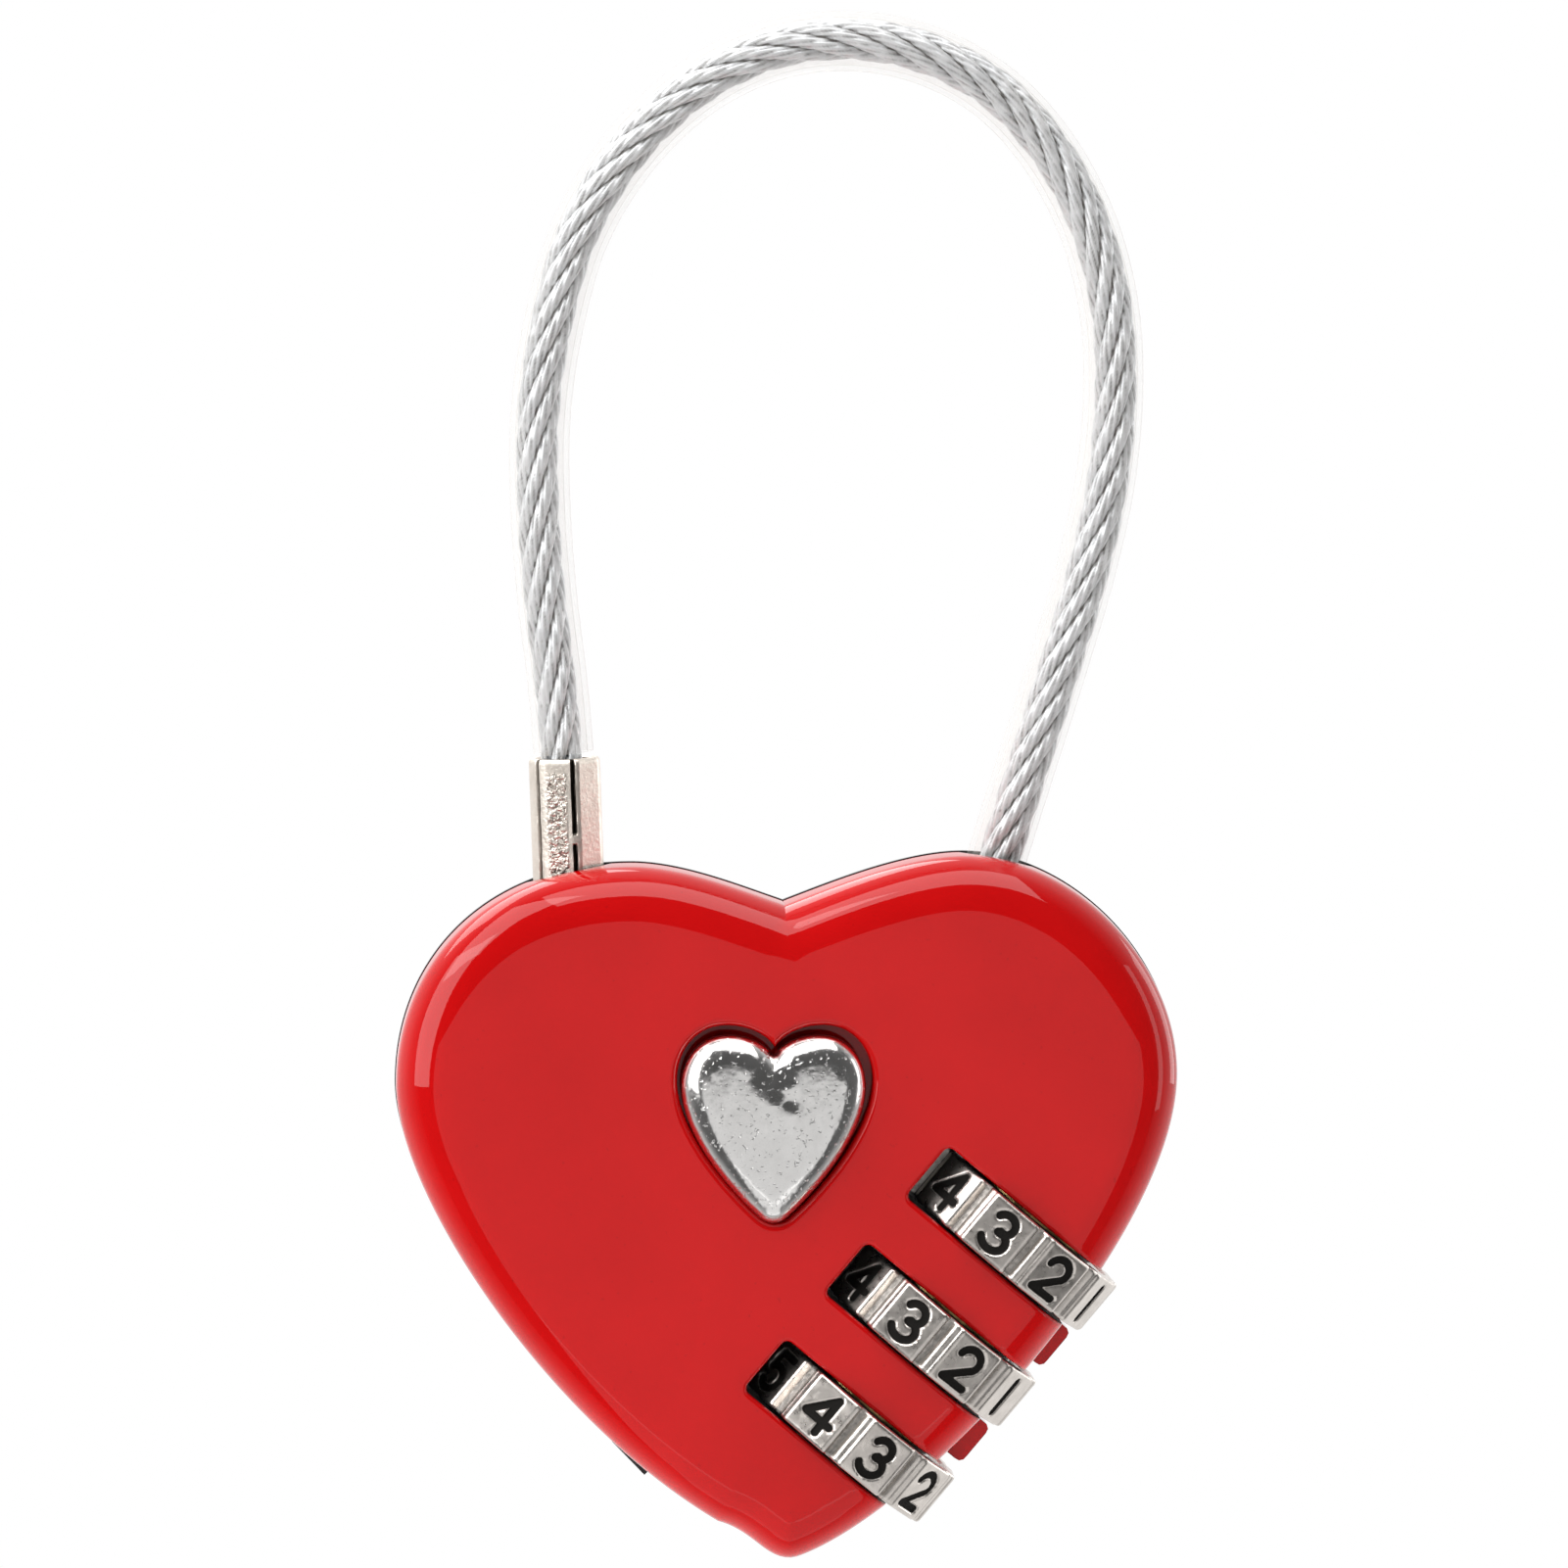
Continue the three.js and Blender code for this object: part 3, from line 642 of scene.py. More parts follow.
def stroke_distance(u, v, digit):
    """Distance from the edge of a digit's strokes, below 0 inside them."""
    points = np.column_stack([u, v])
    best = np.full(len(points), np.inf)
    for stroke in DIGITS[digit]:
        a = np.array(stroke[:-1])
        d = np.array(stroke[1:]) - a
        p = points[:, None] - a
        t = np.clip((p * d).sum(2) / (d**2).sum(1), 0, 1)
        best = np.minimum(best, np.sqrt(((p - d * t[..., None]) ** 2).sum(2)).min(1))
    return best - STROKE_HALF


PAD_RADIUS = 7.2
DIGIT_SCALE = 1.1
DIGIT_SUNK = 0.16
PAD_HALF_ANGLE = 13.3
WHEEL_BORE = 4.5
WHEEL_HALF = 1.85
WHEEL_EDGE = {0.0: 0.2, 0.03: 0.11, 0.1: 0.04, 0.19: 0.01}  # the rim's fall, by distance from its side
FLUTE = [
    (13.3, 0.1), (13.9, 0.5), (15.0, 0.55), (17.6, 0.5), (18.9, 0.3), (20.2, 0.22), (21.6, 0.2), (22.7, 0.1),
]
DIAL_FIRST = {"top": (-8.7, 3), "middle": (-14.4, 3), "bottom": (-18.9, 4)}  # a pad's angle and its digit


def number_wheel(name, step):
    start, shown = DIAL_FIRST[name]
    pad = np.linspace(-PAD_HALF_ANGLE, PAD_HALF_ANGLE, 37)
    flute = np.array([13.75, 14.4, 15.3, 16.4, 17.4, 18.6, 19.6, 20.7, 21.6, 22.25])
    sector = np.concatenate([pad, flute])
    angle = np.concatenate([sector + 36 * i for i in range(10)])
    number = np.repeat([(shown - i) % 10 for i in range(10)], len(sector))
    in_pad = np.tile(sector, 10)
    across_pad = np.radians(in_pad) * PAD_RADIUS
    radius = PAD_RADIUS / np.cos(np.radians(np.clip(in_pad, -PAD_HALF_ANGLE, PAD_HALF_ANGLE)))
    to_edge = np.clip(PAD_HALF_ANGLE - np.abs(in_pad), 0, None) * math.radians(1) * PAD_RADIUS
    radius = radius - np.where(in_pad <= PAD_HALF_ANGLE, 0.1 * (1 - smooth(to_edge / 0.16)), 0)
    sunk = np.interp(in_pad, *zip(*FLUTE))
    radius = np.where(in_pad > PAD_HALF_ANGLE, radius - sunk, radius)

    edge_steps = WHEEL_HALF - np.array(list(WHEEL_EDGE))
    edge_drops = np.array(list(WHEEL_EDGE.values()))
    steps = np.concatenate([-edge_steps, np.linspace(-1.56, 1.56, 33), edge_steps[::-1]])
    drop = np.concatenate([edge_drops, np.zeros(33), edge_drops[::-1]])
    rows, ink_and_flute_band = [], []
    for s, fall in zip(steps, drop):
        r = radius - fall
        # The flutes get a near-black band from 14.3 to 17.9 degrees through the same mask as the digits'
        # print.
        distance = np.where((in_pad > 14.3) & (in_pad < 17.9), 0.012, 1.0)
        if abs(s) < 1.6:
            for digit in range(10):
                on = (number == digit) & (in_pad <= PAD_HALF_ANGLE)
                up = np.full(on.sum(), s / DIGIT_SCALE)
                distance[on] = stroke_distance(across_pad[on] / DIGIT_SCALE, up, digit)
            r = r - DIGIT_SUNK * smooth((0.07 - distance) / 0.14)
        rows.append((r, np.full(len(angle), s)))
        ink_and_flute_band.append(distance)
    flank = [(6.35, WHEEL_HALF), (6.25, 1.7), (5.2, 1.7), (5.1, WHEEL_HALF), (WHEEL_BORE, WHEEL_HALF)]
    for r, s in flank + [(r, -s) for r, s in flank[::-1]]:
        rows.append((np.full(len(angle), r), np.full(len(angle), s)))
        ink_and_flute_band.append(np.full(len(angle), 1.0))

    turn = np.radians(start + angle - 90)
    points = []
    for r, s in rows:
        out, deep = r * np.cos(turn), r * np.sin(turn)
        flat = from_dial(out, s + step)
        points.append(np.column_stack([flat[:, 0], deep, flat[:, 1]]))
    faces = grid_faces(len(rows), len(angle), close_rows=True)
    wheel = mesh_piece(f"dial_wheel_{name}_plated", np.concatenate(points), faces, 32)
    set_attribute(wheel, "ink_and_flute_band", np.concatenate(ink_and_flute_band))
    return wheel


# ---- Cable ----

ROUTE = [
    (-13.33, 18.2), (-13.6, 24.9), (-14, 29.5), (-14.6, 34.5), (-15, 40), (-15, 45.5), (-14.2, 51.2),
    (-12.5, 57), (-9.5, 61.9), (-5.4, 65.8), (-1, 68), (3.5, 68.7), (8.2, 68), (12.6, 65.8), (16, 62.3),
    (18.6, 57.6), (20, 52.4), (20.3, 47.1), (19.8, 41.5), (18.6, 36), (16.9, 30.2), (15, 24.2),
    (13, 17.8), (11, 11.1),
]


def catmull(points, per_span):
    """A centripetal Catmull-Rom curve through the points."""
    p = np.array(points, float)
    p = np.vstack([2 * p[0] - p[1], p, 2 * p[-1] - p[-2]])
    out = []
    for i in range(1, len(p) - 2):
        x0, x1, x2, x3 = p[i - 1:i + 3]
        d0, d1, d2 = (math.sqrt(np.linalg.norm(b - a)) for a, b in ((x0, x1), (x1, x2), (x2, x3)))
        m1 = ((x1 - x0) / d0 - (x2 - x0) / (d0 + d1) + (x2 - x1) / d1) * d1
        m2 = ((x2 - x1) / d1 - (x3 - x1) / (d1 + d2) + (x3 - x2) / d2) * d1
        t = (np.arange(per_span) / per_span)[:, None]
        square = -3 * x1 + 3 * x2 - 2 * m1 - m2
        cube = 2 * x1 - 2 * x2 + m1 + m2
        out.append(x1 + m1 * t + square * t**2 + cube * t**3)
    return np.vstack(out + [p[-2:-1]])


FINE_ROUTE = catmull(ROUTE, 60)
ROUTE_RUN = np.concatenate([[0], np.cumsum(np.linalg.norm(np.diff(FINE_ROUTE, axis=0), axis=1))])
JACKET_START = ROUTE_RUN[60]


def route_frame(distances):
    """Points, tangents and outward normals of the route at distances along it, in x and z."""
    at = np.column_stack([np.interp(distances, ROUTE_RUN, FINE_ROUTE[:, i]) for i in (0, 1)])
    tangent = np.gradient(at, axis=0)
    tangent /= np.linalg.norm(tangent, axis=1)[:, None]
    return at, tangent, np.column_stack([-tangent[:, 1], tangent[:, 0]])


def swept(distances, offsets):
    """Rings of points round the route. offsets holds each ring's points as (outward, backward)."""
    at, _, normal = route_frame(distances)
    flat = at[:, None] + normal[:, None] * offsets[..., :1]
    return np.stack([flat[..., 0], offsets[..., 1], flat[..., 1]], axis=2)


JACKET_RADIUS = 1.85
JACKET_BORE = 1.5


def cable_jacket():
    run = np.linspace(JACKET_START, ROUTE_RUN[-1], 260)
    ring = circle(0, 0, 1)
    outer = swept(run, np.tile(ring * JACKET_RADIUS, (len(run), 1, 1)))
    inner = swept(run, np.tile(ring * JACKET_BORE, (len(run), 1, 1)))
    points = np.concatenate([outer, inner[::-1]]).reshape(-1, 3)
    faces = [f[::-1] for f in grid_faces(2 * len(run), len(ring), close_rows=True)]
    return mesh_piece("cable_jacket_clear", points, faces, 50)


ROPE_LAY = 17.0  # length of one turn of a strand
WIRE_LAY = 9.0  # one turn of the wires in a strand, laid the other way
STRAND_RADIUS = 0.46
STRAND_CENTRE = 0.87
CORE_RADIUS = 0.5
ROPE_SHIFT = 0.14  # the rope lies against the jacket's outer side in the loop


def tube_faces(rows, sides, base):
    """The side and both ends of a tube whose points start at number base."""
    faces = [tuple(i + base for i in f[::-1]) for f in grid_faces(rows, sides)]
    first = tuple(range(base, base + sides))
    last = tuple(base + (rows - 1) * sides + k for k in range(sides))
    return faces + [first, last[::-1]]


def wire_rope():
    run = np.arange(0.0, ROUTE_RUN[-1], 0.25)
    sides = 36
    angle = np.arange(sides) / sides * 2 * math.pi
    around = np.column_stack([np.cos(angle), np.sin(angle)])
    points, faces, valley = [], [], []
    for strand in range(6):
        lay = -2 * math.pi * run / ROPE_LAY + strand * math.pi / 3
        twist = 2 * math.pi * run / WIRE_LAY + strand
        lobes = 1 - 0.22 * np.abs(np.cos(3.5 * (angle[None, :] - twist[:, None]))) ** 2.5
        ring = STRAND_RADIUS * lobes[..., None] * around[None]
        centre = STRAND_CENTRE * np.column_stack([np.cos(lay), np.sin(lay)]) + (ROPE_SHIFT, 0)
        faces += tube_faces(len(run), sides, sum(len(p) for p in points))
        points.append(swept(run, ring + centre[:, None]).reshape(-1, 3))
        # valley marks the crevices between strands and between wires, where the rope's finish paints shade.
        from_axis = np.linalg.norm(ring + centre[:, None] - (ROPE_SHIFT, 0), axis=2)
        between_wires = smooth((0.92 - lobes) / 0.1)
        valley.append((smooth((1.02 - from_axis) / 0.2) + 0.75 * between_wires).ravel())
    faces += tube_faces(len(run), sides, sum(len(p) for p in points))
    core = np.tile(CORE_RADIUS * around + (ROPE_SHIFT, 0), (len(run), 1, 1))
    points.append(swept(run, core).reshape(-1, 3))
    valley.append(np.full(len(run) * sides, 1.0))
    rope = mesh_piece("wire_rope_stranded", np.concatenate(points), faces, 60)
    set_attribute(rope, "valley", np.concatenate(valley))
    return rope


# ---- Ferrule ----

FERRULE_TOP = {7.05: 0.0, 7.18: 0.04, 7.27: 0.11, 7.3: 0.2}  # how much its upper edge falls, by height


def cable_ferrule():
    """A crimped sleeve that narrows to a grooved pin inside the case. Angles run from front to right."""
    angle = np.arange(288) / 288 * 360 - 180
    flats = [(-140, 2.02), (-13, 2.05), (45, 2.04), (115, 2.06), (180, 2.04), (-180, 2.04)]
    section = np.full(len(angle), 2.2)
    for middle, apothem in flats:
        turn = np.radians(angle - middle)
        flat = np.where(np.cos(turn) > 0.3, apothem / np.maximum(np.cos(turn), 0.3), 9)
        section = np.minimum(section, flat)
    levels = [
        (-9.0, 0.02), (-9.0, 0.9), (-8.4, 1.5), (-7.9, 1.98), (-6.45, 2.0), (-6.4, 1.38), (-5.2, 1.38),
        (-5.15, 2.0), (-1.0, 2.0), (-0.6, None),
    ]
    levels += [(z, None) for z in np.arange(-0.4, 7.0, 0.12)]
    levels += [(z, None) for z in FERRULE_TOP]
    levels += [(7.3, 1.75), (7.2, 1.6), (5.0, 1.6), (5.0, 0.02)]
    rows, groove_shade, knurl = [], [], []
    for z, fixed in levels:
        if fixed is not None:
            rows.append(np.full(len(angle), fixed))
            groove_shade.append(np.zeros(len(angle)))
            knurl.append(np.zeros(len(angle)))
            continue
        r = section.copy()
        wobble = 0.05 * math.sin(z * 2.1) + 0.03 * math.sin(z * 5.3 + 1)
        broken = smooth((abs(z - 2.35) - 0.2) / 0.25)
        r = r - 0.36 * float(broken) * smooth(1.3 - np.abs(angle - 12 - 5 * wobble) / 3.6)
        r = r - 0.26 * smooth(1.2 - np.abs(angle + 51 + 6 * wobble) / 3.6)
        # Painted shade: this mask grows with how deep the crimp groove and crack cut into the sleeve.
        groove_shade.append(smooth((section - r) / 0.22))
        knurl.append(smooth((19 - np.abs(angle + 16)) / 5) * smooth((6.6 - z) / 0.5))
        rows.append(r - FERRULE_TOP.get(z, 0.0))
    at, lean = LEAN["ferrule"]
    up = np.array([math.sin(lean), math.cos(lean)])
    side = np.array([math.cos(lean), -math.sin(lean)])
    turn = np.radians(angle)
    points = []
    for (z, _), r in zip(levels, rows):
        flat = at + np.outer(r * np.sin(turn), side) + z * up
        points.append(np.column_stack([flat[:, 0], -r * np.cos(turn), flat[:, 1]]))
    faces = grid_faces(len(levels), len(angle))
    n = len(angle)
    faces.append(tuple(range(n))[::-1])
    faces.append(tuple((len(levels) - 1) * n + k for k in range(n)))
    ferrule = mesh_piece("cable_ferrule_crimped", np.concatenate(points), faces, 30)
    set_attribute(ferrule, "groove_shade", np.concatenate(groove_shade))
    set_attribute(ferrule, "knurl", np.concatenate(knurl))
    return ferrule


# ---- Return springs ----


def coil_spring(name, start, along, side, radius, turns, length, wire=0.18):
    """A round wire wound from start towards along. side is a direction square to along."""
    start, along, side = (np.array(v, float) for v in (start, along, side))
    other = np.cross(along, side)
    turn = np.linspace(0, 2 * math.pi * turns, int(turns * 28) + 1)[:, None]
    outward = np.cos(turn) * side + np.sin(turn) * other
    middle = start + outward * radius + along * length * turn / turn[-1]
    sides = 10
    angle = (np.arange(sides) / sides * 2 * math.pi)[None, :, None]
    rings = middle[:, None] + wire * (np.cos(angle) * outward[:, None] + np.sin(angle) * along)
    faces = [f[::-1] for f in tube_faces(len(turn), sides, 0)]
    return mesh_piece(name, rings.reshape(-1, 3), faces, 50)


def button_spring():
    x, z = BUTTON_AT
    return coil_spring("button_spring_wound", (x, -4.1, z), (0, -1, 0), (1, 0, 0), 2.6, 1.5, 0.9)


def latch_spring():
    return coil_spring("latch_spring_wound", (-9.2, 1.8, 1.6), (1, 0, 0), (0, 1, 0), 1.0, 4, 2.7, 0.17)


def spindle_spring():
    x, z = from_dial(np.array([0.0]), np.array([12.8]))[0]
    along = (AXLE[0], 0, AXLE[1])
    return coil_spring("spindle_spring_wound", (x, 0, z), along, (0, 1, 0), 1.6, 3, 1.3)


# ---- Materials ----


class Shader:
    """A node material with short calls for the nodes that the finishes below share."""

    def __init__(self, name, **settings):
        self.material = bpy.data.materials.new(name)
        self.material.use_nodes = True
        self.tree = self.material.node_tree
        self.bsdf = self.tree.nodes["Principled BSDF"]
        self.output = self.tree.nodes["Material Output"]
        for socket, value in settings.items():
            self.bsdf.inputs[socket.replace("_", " ")].default_value = value
        self.place = self.node("ShaderNodeTexCoord").outputs["Object"]

    def node(self, kind, **inputs):
        made = self.tree.nodes.new(kind)
        for socket, value in inputs.items():
            self.connect(value, made.inputs[socket.replace("_", " ")])
        return made

    def connect(self, value, socket):
        if isinstance(value, bpy.types.NodeSocket):
            self.tree.links.new(value, socket)
        else:
            socket.default_value = value

    def noise(self, size_mm, detail=3.0, roughness=0.55, stretch=None):
        """Noise whose blotches are about size_mm across."""
        at = self.place
        if stretch:
            at = self.node("ShaderNodeMapping", Vector=at, Scale=stretch).outputs["Vector"]
        settings = {"Scale": 1000.0 / size_mm, "Detail": detail, "Roughness": roughness}
        return self.node("ShaderNodeTexNoise", Vector=at, **settings).outputs["Fac"]

    def ramp(self, value, *stops):
        """A colour ramp. Each stop is (position, colour), and a colour may be one number."""
        made = self.node("ShaderNodeValToRGB", Fac=value)
        elements = made.color_ramp.elements
        while len(elements) < len(stops):
            elements.new(0.5)
        for element, (position, colour) in zip(elements, stops):
            element.position = position
            element.color = (colour,) * 3 + (1,) if isinstance(colour, float) else (*colour, 1)
        return made.outputs["Color"]

    def mix(self, factor, a, b):
        made = self.tree.nodes.new("ShaderNodeMix")
        made.data_type = "RGBA"
        for socket, value in (("Factor_Float", factor), ("A_Color", a), ("B_Color", b)):
            slot = next(s for s in made.inputs if s.identifier == socket)
            self.connect((*value, 1) if isinstance(value, tuple) and len(value) == 3 else value, slot)
        return next(s for s in made.outputs if s.identifier == "Result_Color")

    def maths(self, operation, a, b=0.0):
        made = self.tree.nodes.new("ShaderNodeMath")
        made.operation = operation
        self.connect(a, made.inputs[0])
        self.connect(b, made.inputs[1])
        return made.outputs[0]

    def attribute(self, name):
        made = self.tree.nodes.new("ShaderNodeAttribute")
        made.attribute_name = name
        return made.outputs["Fac"]

    def bump(self, height, distance_mm, strength=1.0):
        made = self.node("ShaderNodeBump", Height=height, Distance=distance_mm / 1000, Strength=strength)
        self.tree.links.new(made.outputs["Normal"], self.bsdf.inputs["Normal"])

    def feed(self, socket, value):
        self.connect(value, self.bsdf.inputs[socket])

    def fed(self, socket):
        return self.bsdf.inputs[socket].links[0].from_socket


def red_paint(with_seam_shade):
    name = "red_paint_seam_shade" if with_seam_shade else "red_paint"
    s = Shader(name, Roughness=0.5, Coat_Weight=1.0, Coat_Roughness=0.02)
    s.feed("Coat IOR", 1.42)
    s.feed("Specular IOR Level", 0.0)
    cloud = s.noise(9.0, 2.0)
    colour = s.ramp(cloud, (0.3, (0.44, 0.0018, 0.0022)), (0.7, (0.49, 0.0028, 0.0034)))
    specks = s.ramp(s.noise(0.35, 1.0, 0.4), (0.74, 0.0), (0.78, 1.0))
    colour = s.mix(s.maths("MULTIPLY", specks, 0.35), colour, (0.28, 0.002, 0.003))
    rough = s.ramp(s.noise(0.8), (0.3, 0.4), (0.7, 0.6))
    # Painted shade: near black along the back half's parting line, for the shadow in the gap between the
    # halves.
    if with_seam_shade:
        seam_shade = s.attribute("seam_shade")
        colour = s.mix(seam_shade, colour, (0.006, 0.005, 0.006))
    s.feed("Base Color", colour)
    s.feed("Roughness", rough)
    s.bump(s.noise(1.6, 2.0), 0.004, 0.4)
    coat = s.node("ShaderNodeBump", Height=s.noise(5.0, 2.0), Distance=0.00001, Strength=0.35)
    s.tree.links.new(coat.outputs["Normal"], s.bsdf.inputs["Coat Normal"])
    return s.material


def plated(name, tones, rough, grain_mm, bump_mm, blotch=0.6):
    """Plated or cast metal: tones are two colours, rough its two roughnesses."""
    s = Shader(name, Metallic=1.0)
    mottle = s.noise(1.3, 5.0, 0.65)
    colour = s.ramp(mottle, (0.5 - blotch / 2, tones[0]), (0.5 + blotch / 2, tones[1]))
    s.feed("Base Color", colour)
    s.feed("Roughness", s.ramp(s.noise(0.5, 4.0), (0.3, rough[0]), (0.7, rough[1])))
    s.bump(s.noise(grain_mm, 3.0), bump_mm, 0.6)
    return s


def chrome_material():
    s = plated("pitted_chrome", ((0.80, 0.785, 0.77), (0.92, 0.905, 0.89)), (0.09, 0.2), 0.5, 0.012)
    pits = s.ramp(s.noise(0.28, 2.0), (0.62, 1.0), (0.7, 0.0))
    wave = s.noise(1.1, 2.0)
    s.bump(s.maths("ADD", s.maths("MULTIPLY", pits, 0.5), wave), 0.045, 0.6)
    return s.material


def wheel_material():
    s = plated("dial_nickel", ((0.58, 0.54, 0.50), (0.82, 0.765, 0.715)), (0.24, 0.38), 0.45, 0.008)
    # The mask holds the digits' black print and also a near-black band in each flute.
    ragged = s.maths("ADD", s.attribute("ink_and_flute_band"), s.maths("MULTIPLY", s.noise(0.3), 0.04))
    ink_and_flute_band = s.ramp(ragged, (0.01, 1.0), (0.05, 0.0))
    s.feed("Base Color", s.mix(ink_and_flute_band, s.fed("Base Color"), (0.008, 0.007, 0.006)))
    s.feed("Metallic", s.maths("SUBTRACT", 1.0, ink_and_flute_band))
    s.feed("Roughness", s.mix(ink_and_flute_band, s.fed("Roughness"), (0.7, 0.7, 0.7)))
    s.feed("Specular IOR Level", s.ramp(ink_and_flute_band, (0.0, 0.5), (1.0, 0.12)))
    uneven = s.maths("ADD", s.noise(0.9, 2.0), s.maths("MULTIPLY", s.noise(0.3, 3.0), 0.25))
    s.bump(uneven, 0.03, 0.6)
    return s.material


def ferrule_material():
    s = plated("ferrule_nickel", ((0.68, 0.61, 0.54), (0.90, 0.83, 0.75)), (0.34, 0.5), 0.35, 0.03)
    pits = s.maths("MULTIPLY", s.attribute("knurl"), s.ramp(s.noise(0.26, 2.0), (0.5, 0.0), (0.62, 0.7)))
    tone = s.mix(pits, s.fed("Base Color"), (0.12, 0.095, 0.075))
    # Painted shade: the crimp groove and crack are painted near black, deeper cuts darker.
    s.feed("Base Color", s.mix(s.attribute("groove_shade"), tone, (0.02, 0.016, 0.012)))
    rolled = s.maths("MULTIPLY", s.attribute("knurl"), s.ramp(s.noise(0.32, 2.0), (0.4, 0.0), (0.6, 1.0)))
    s.bump(s.maths("ADD", s.maths("MULTIPLY", s.noise(0.3), 0.55), rolled), 0.09, 0.8)
    return s.material


def rope_material():
    s = plated("galvanised_wire", ((0.58, 0.60, 0.62), (0.80, 0.81, 0.82)), (0.34, 0.5), 0.3, 0.01)
    s.feed("Metallic", 0.5)
    # Painted shade: near black in the crevices between strands and between wires, broken into specks by
    # noise.
    crevice_shade = s.maths("MULTIPLY", s.attribute("valley"), s.ramp(s.noise(0.8), (0.4, 0.3), (0.62, 1.0)))
    crevice_shade = s.ramp(crevice_shade, (0.15, 0.0), (0.9, 0.92))
    s.feed("Base Color", s.mix(crevice_shade, s.fed("Base Color"), (0.045, 0.045, 0.05)))
    return s.material


def clear_material():
    """Clear PVC: light goes straight through, with a glossy skin and a faint milky edge."""
    s = Shader("clear_pvc", Roughness=0.12, Base_Color=(0.82, 0.76, 0.70, 1))
    facing = s.node("ShaderNodeLayerWeight", Blend=0.35).outputs["Facing"]
    body = s.ramp(facing, (0.0, 0.06), (0.6, 0.1), (0.85, 0.5), (1.0, 0.75))
    haze = s.maths("MULTIPLY", s.ramp(s.noise(2.5), (0.3, 0.85), (0.7, 1.15)), body)
    s.feed("Alpha", haze)
    s.bump(s.noise(3.0, 1.0), 0.02, 0.3)
    return s.material


def plain_metal(name, dark, light, rough):
    return plated(name, (dark, light), rough, 0.4, 0.01).material


def plastic_and_shade_material():
    s = Shader("black_plastic")
    s.feed("Base Color", s.ramp(s.noise(0.6), (0.3, (0.008, 0.008, 0.009)), (0.7, (0.02, 0.018, 0.018))))
    s.feed("Roughness", s.ramp(s.noise(0.3), (0.3, 0.35), (0.7, 0.55)))
    s.bump(s.noise(0.25), 0.01, 0.6)
    return s.material


def finish(obj, material, body=None, nodes=(), painted_inside_shade=None):
    """Gives a new piece its material, its body and the CAD nodes that it stands for.
    The last argument is the black material of the inner faces and slot walls: painted shade that darkens the
    inside of the case and the wheel windows."""
    index = np.zeros(len(obj.data.polygons), np.int32)
    obj.data.polygons.foreach_get("material_index", index)
    obj.data.materials.append(material)
    if painted_inside_shade:
        obj.data.materials.append(painted_inside_shade)
        obj.data.polygons.foreach_set("material_index", index)
    else:
        obj.data.polygons.foreach_set("material_index", index * 0)
    if nodes:
        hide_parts(*nodes)
    if body:
        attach(obj, body)
    return obj


# ---- Assembly ----

JACKET_NODES = ("cable_jacket_free", "cable_jacket_fixed")
ROPE_NODES = ("wire_rope_free", "wire_rope_fixed")
jacket = finish(cable_jacket(), clear_material(), nodes=JACKET_NODES)
rope = finish(wire_rope(), rope_material(), nodes=ROPE_NODES)
ferrule = finish(cable_ferrule(), ferrule_material(), "free_end", ["cable_ferrule"])

for piece in (jacket, rope):
    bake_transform(piece)

cord_run = np.linspace(JACKET_START, ROUTE_RUN[-1], 120)
cord_points = route_frame(cord_run)[0][::-1]

# The black plastic is the reset slider's own colour, and also painted shade on the case's inside and slot
# walls.
plastic_and_shade = plastic_and_shade_material()
finish(front_shell(), red_paint(False), "case", ["front_shell"], plastic_and_shade)
finish(back_shell(), red_paint(True), "case", ["back_shell"], plastic_and_shade)
finish(release_button(), chrome_material(), "button", ["release_button"])
nickel = wheel_material()
for wheel_name, wheel_step in zip(("bottom", "middle", "top"), DIAL_STEPS):
    wheel = number_wheel(wheel_name, wheel_step)
    finish(wheel, nickel, f"{wheel_name}_dial", [f"dial_wheel_{wheel_name}"])

steel = plain_metal("machined_steel", (0.36, 0.36, 0.37), (0.55, 0.55, 0.56), (0.25, 0.4))
spring_steel = plain_metal("spring_steel", (0.2, 0.21, 0.22), (0.36, 0.37, 0.38), (0.25, 0.4))
brass = plain_metal("turned_brass", (0.5, 0.36, 0.14), (0.66, 0.49, 0.22), (0.25, 0.4))
zinc = plain_metal("cast_zinc", (0.36, 0.37, 0.37), (0.5, 0.51, 0.51), (0.45, 0.65))
# The CAD nodes that are shown as they are, by the start of their names.
CARRIED_OVER = {
    "case_rivet": steel, "button_retainer": spring_steel, "latch_plate": zinc, "latch_clip": spring_steel,
    "code_sleeve": brass, "code_spindle": steel, "spindle_bush": brass, "detent_spring": spring_steel,
    "reset_slider": plastic_and_shade, "cable_anchor": zinc, "anchor_pin": steel,
}
SPINDLE_STOP = tuple(lock_to_row([(DIAL_AT[0] + 14.4 * AXLE[0], 0, DIAL_AT[1] + 14.4 * AXLE[1])])[0])
# Each spring with its node, the line it closes along, its fixed end and the share of length it keeps.
SPRINGS = [
    (button_spring(), "button_spring", (0, 1, 0), (0, -0.0038, 0), 0.2),
    (latch_spring(), "latch_spring", (1, 0, 0), (-0.0063, 0, 0), 0.64),
    (spindle_spring(), "spindle_spring", (AXLE[0], 0, AXLE[1]), SPINDLE_STOP, 0.54),
]
for spring, node, axis, anchor, keep in SPRINGS:
    finish(spring, spring_steel, "case", [node])
    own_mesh(spring)

for name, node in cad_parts.items():
    material = next((m for start, m in CARRIED_OVER.items() if name.startswith(start)), None)
    if material is not None:
        node.data.materials.clear()
        node.data.materials.append(material)
        node.data.shade_smooth()
        node.data.set_sharp_from_angle(angle=math.radians(35))


# ---- Studio ----


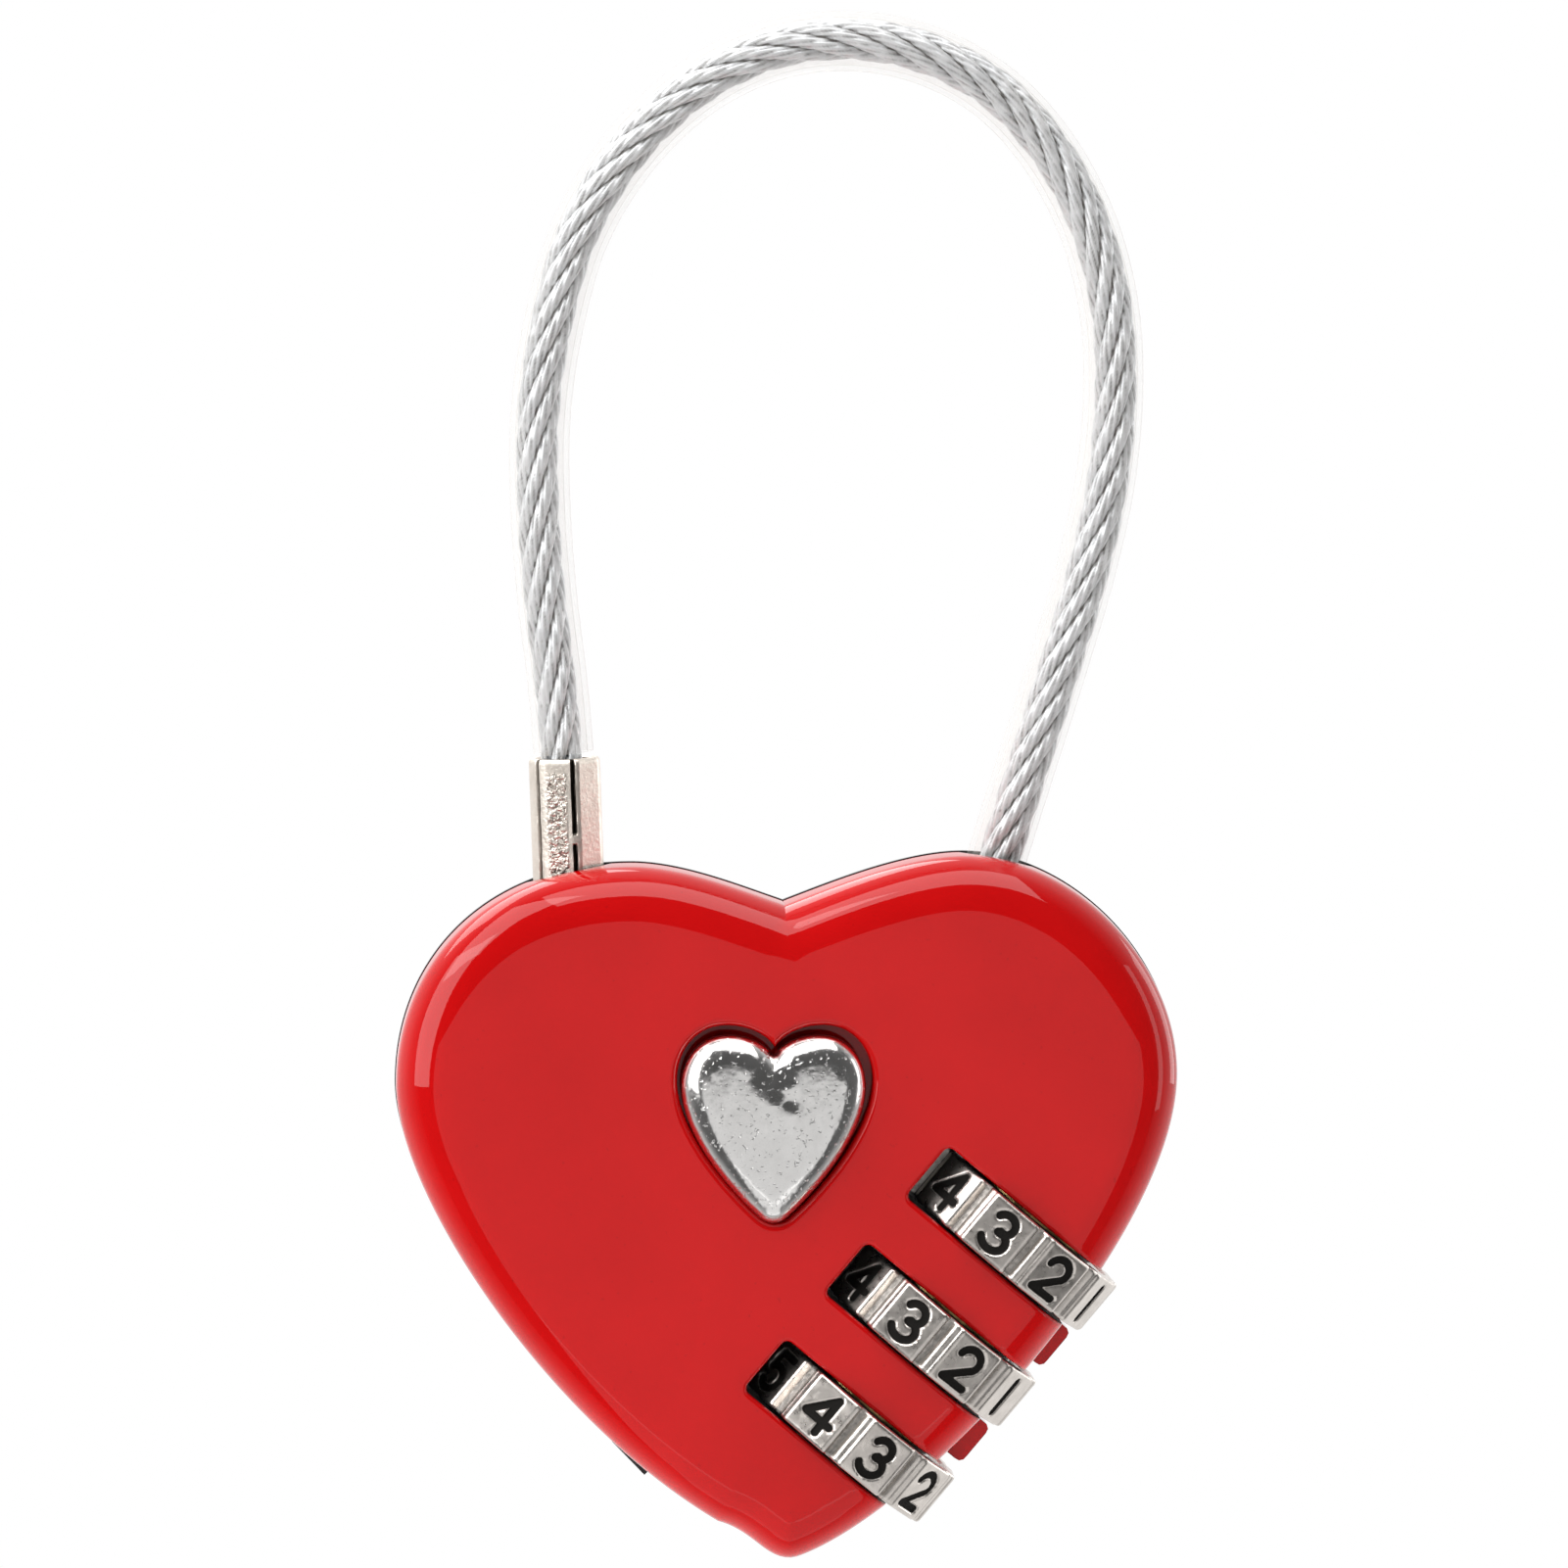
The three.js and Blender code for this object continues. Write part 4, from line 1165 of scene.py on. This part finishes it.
def area_light(name, place, target, size, power, colour=(1, 1, 1)):
    light = bpy.data.lights.new(name, "AREA")
    light.shape = "RECTANGLE"
    light.size, light.size_y = size
    light.energy = power
    light.color = colour
    obj = new_object(name, light)
    obj.location = place
    obj.rotation_euler = (Vector(target) - Vector(place)).to_track_quat("-Z", "Y").to_euler()


MIDDLE = (0.0, 0.0, -0.06)
area_light("bank_left", (-0.42, -0.26, 0.09), MIDDLE, (0.36, 0.40), 1.5)
area_light("bank_upper_left", (-0.30, -0.22, 0.32), MIDDLE, (0.34, 0.36), 1.3)
area_light("bank_top", (0.04, -0.20, 0.43), MIDDLE, (0.46, 0.38), 1.7)
area_light("front_card", (0.03, -0.70, -0.27), MIDDLE, (0.95, 0.50), 0.95)
area_light("low_card", (0.0, -0.34, -0.55), MIDDLE, (0.7, 0.5), 0.8)
area_light("right_edge", (0.5, -0.1, 0.0), MIDDLE, (0.1, 0.4), 0.2)
area_light("rim_upper_left", (-0.225, 0.316, 0.33), MIDDLE, (0.5, 0.25), 1.5)
area_light("rim_right", (0.42, 0.25, 0.02), MIDDLE, (0.2, 0.3), 0.4)

# Surroundings that are dark in front and white behind, while the camera sees plain white.
world = bpy.data.worlds.new("studio")
bpy.context.scene.world = world
world.use_nodes = True
tree = world.node_tree
tree.nodes.clear()
surroundings = tree.nodes.new("ShaderNodeBackground")
seen = tree.nodes.new("ShaderNodeBackground")
seen.inputs["Color"].default_value = (1, 1, 1, 1)
coordinates = tree.nodes.new("ShaderNodeTexCoord")
separate = tree.nodes.new("ShaderNodeSeparateXYZ")
tree.links.new(coordinates.outputs["Generated"], separate.inputs[0])
backwards = tree.nodes.new("ShaderNodeMapRange")
backwards.inputs["From Min"].default_value = -1.0
tree.links.new(separate.outputs["Y"], backwards.inputs["Value"])
ramp = tree.nodes.new("ShaderNodeValToRGB")
while len(ramp.color_ramp.elements) < 4:
    ramp.color_ramp.elements.new(0.5)
SURROUND_TONES = ((0.0, 0.08), (0.29, 0.12), (0.5, 0.55), (0.67, 1.0))
for stop, (position, tone) in zip(ramp.color_ramp.elements, SURROUND_TONES):
    stop.position = position
    stop.color = (tone, tone, tone, 1)
tree.links.new(backwards.outputs["Result"], ramp.inputs["Fac"])
tree.links.new(ramp.outputs["Color"], surroundings.inputs["Color"])
rays = tree.nodes.new("ShaderNodeLightPath")
choose = tree.nodes.new("ShaderNodeMixShader")
tree.links.new(rays.outputs["Is Camera Ray"], choose.inputs["Fac"])
tree.links.new(surroundings.outputs[0], choose.inputs[1])
tree.links.new(seen.outputs[0], choose.inputs[2])
tree.links.new(choose.outputs[0], tree.nodes.new("ShaderNodeOutputWorld").inputs["Surface"])

floor_mesh = bpy.data.meshes.new("floor")
floor_ring = circle(0, 0, 0.2, 64)
floor_mesh.from_pydata([(x, y, -0.14) for x, y in floor_ring], [], [tuple(range(64))])
floor = new_object("floor", floor_mesh)
floor_shader = Shader("pale_floor", Roughness=0.8, Emission_Color=(1, 1, 1, 1), Emission_Strength=0.1)
floor_shader.feed("Base Color", floor_shader.ramp(floor_shader.noise(20), (0.3, 0.90), (0.7, 0.94)))
floor_mesh.materials.append(floor_shader.material)
floor.visible_glossy = False

bpy.context.scene.view_settings.view_transform = "Standard"
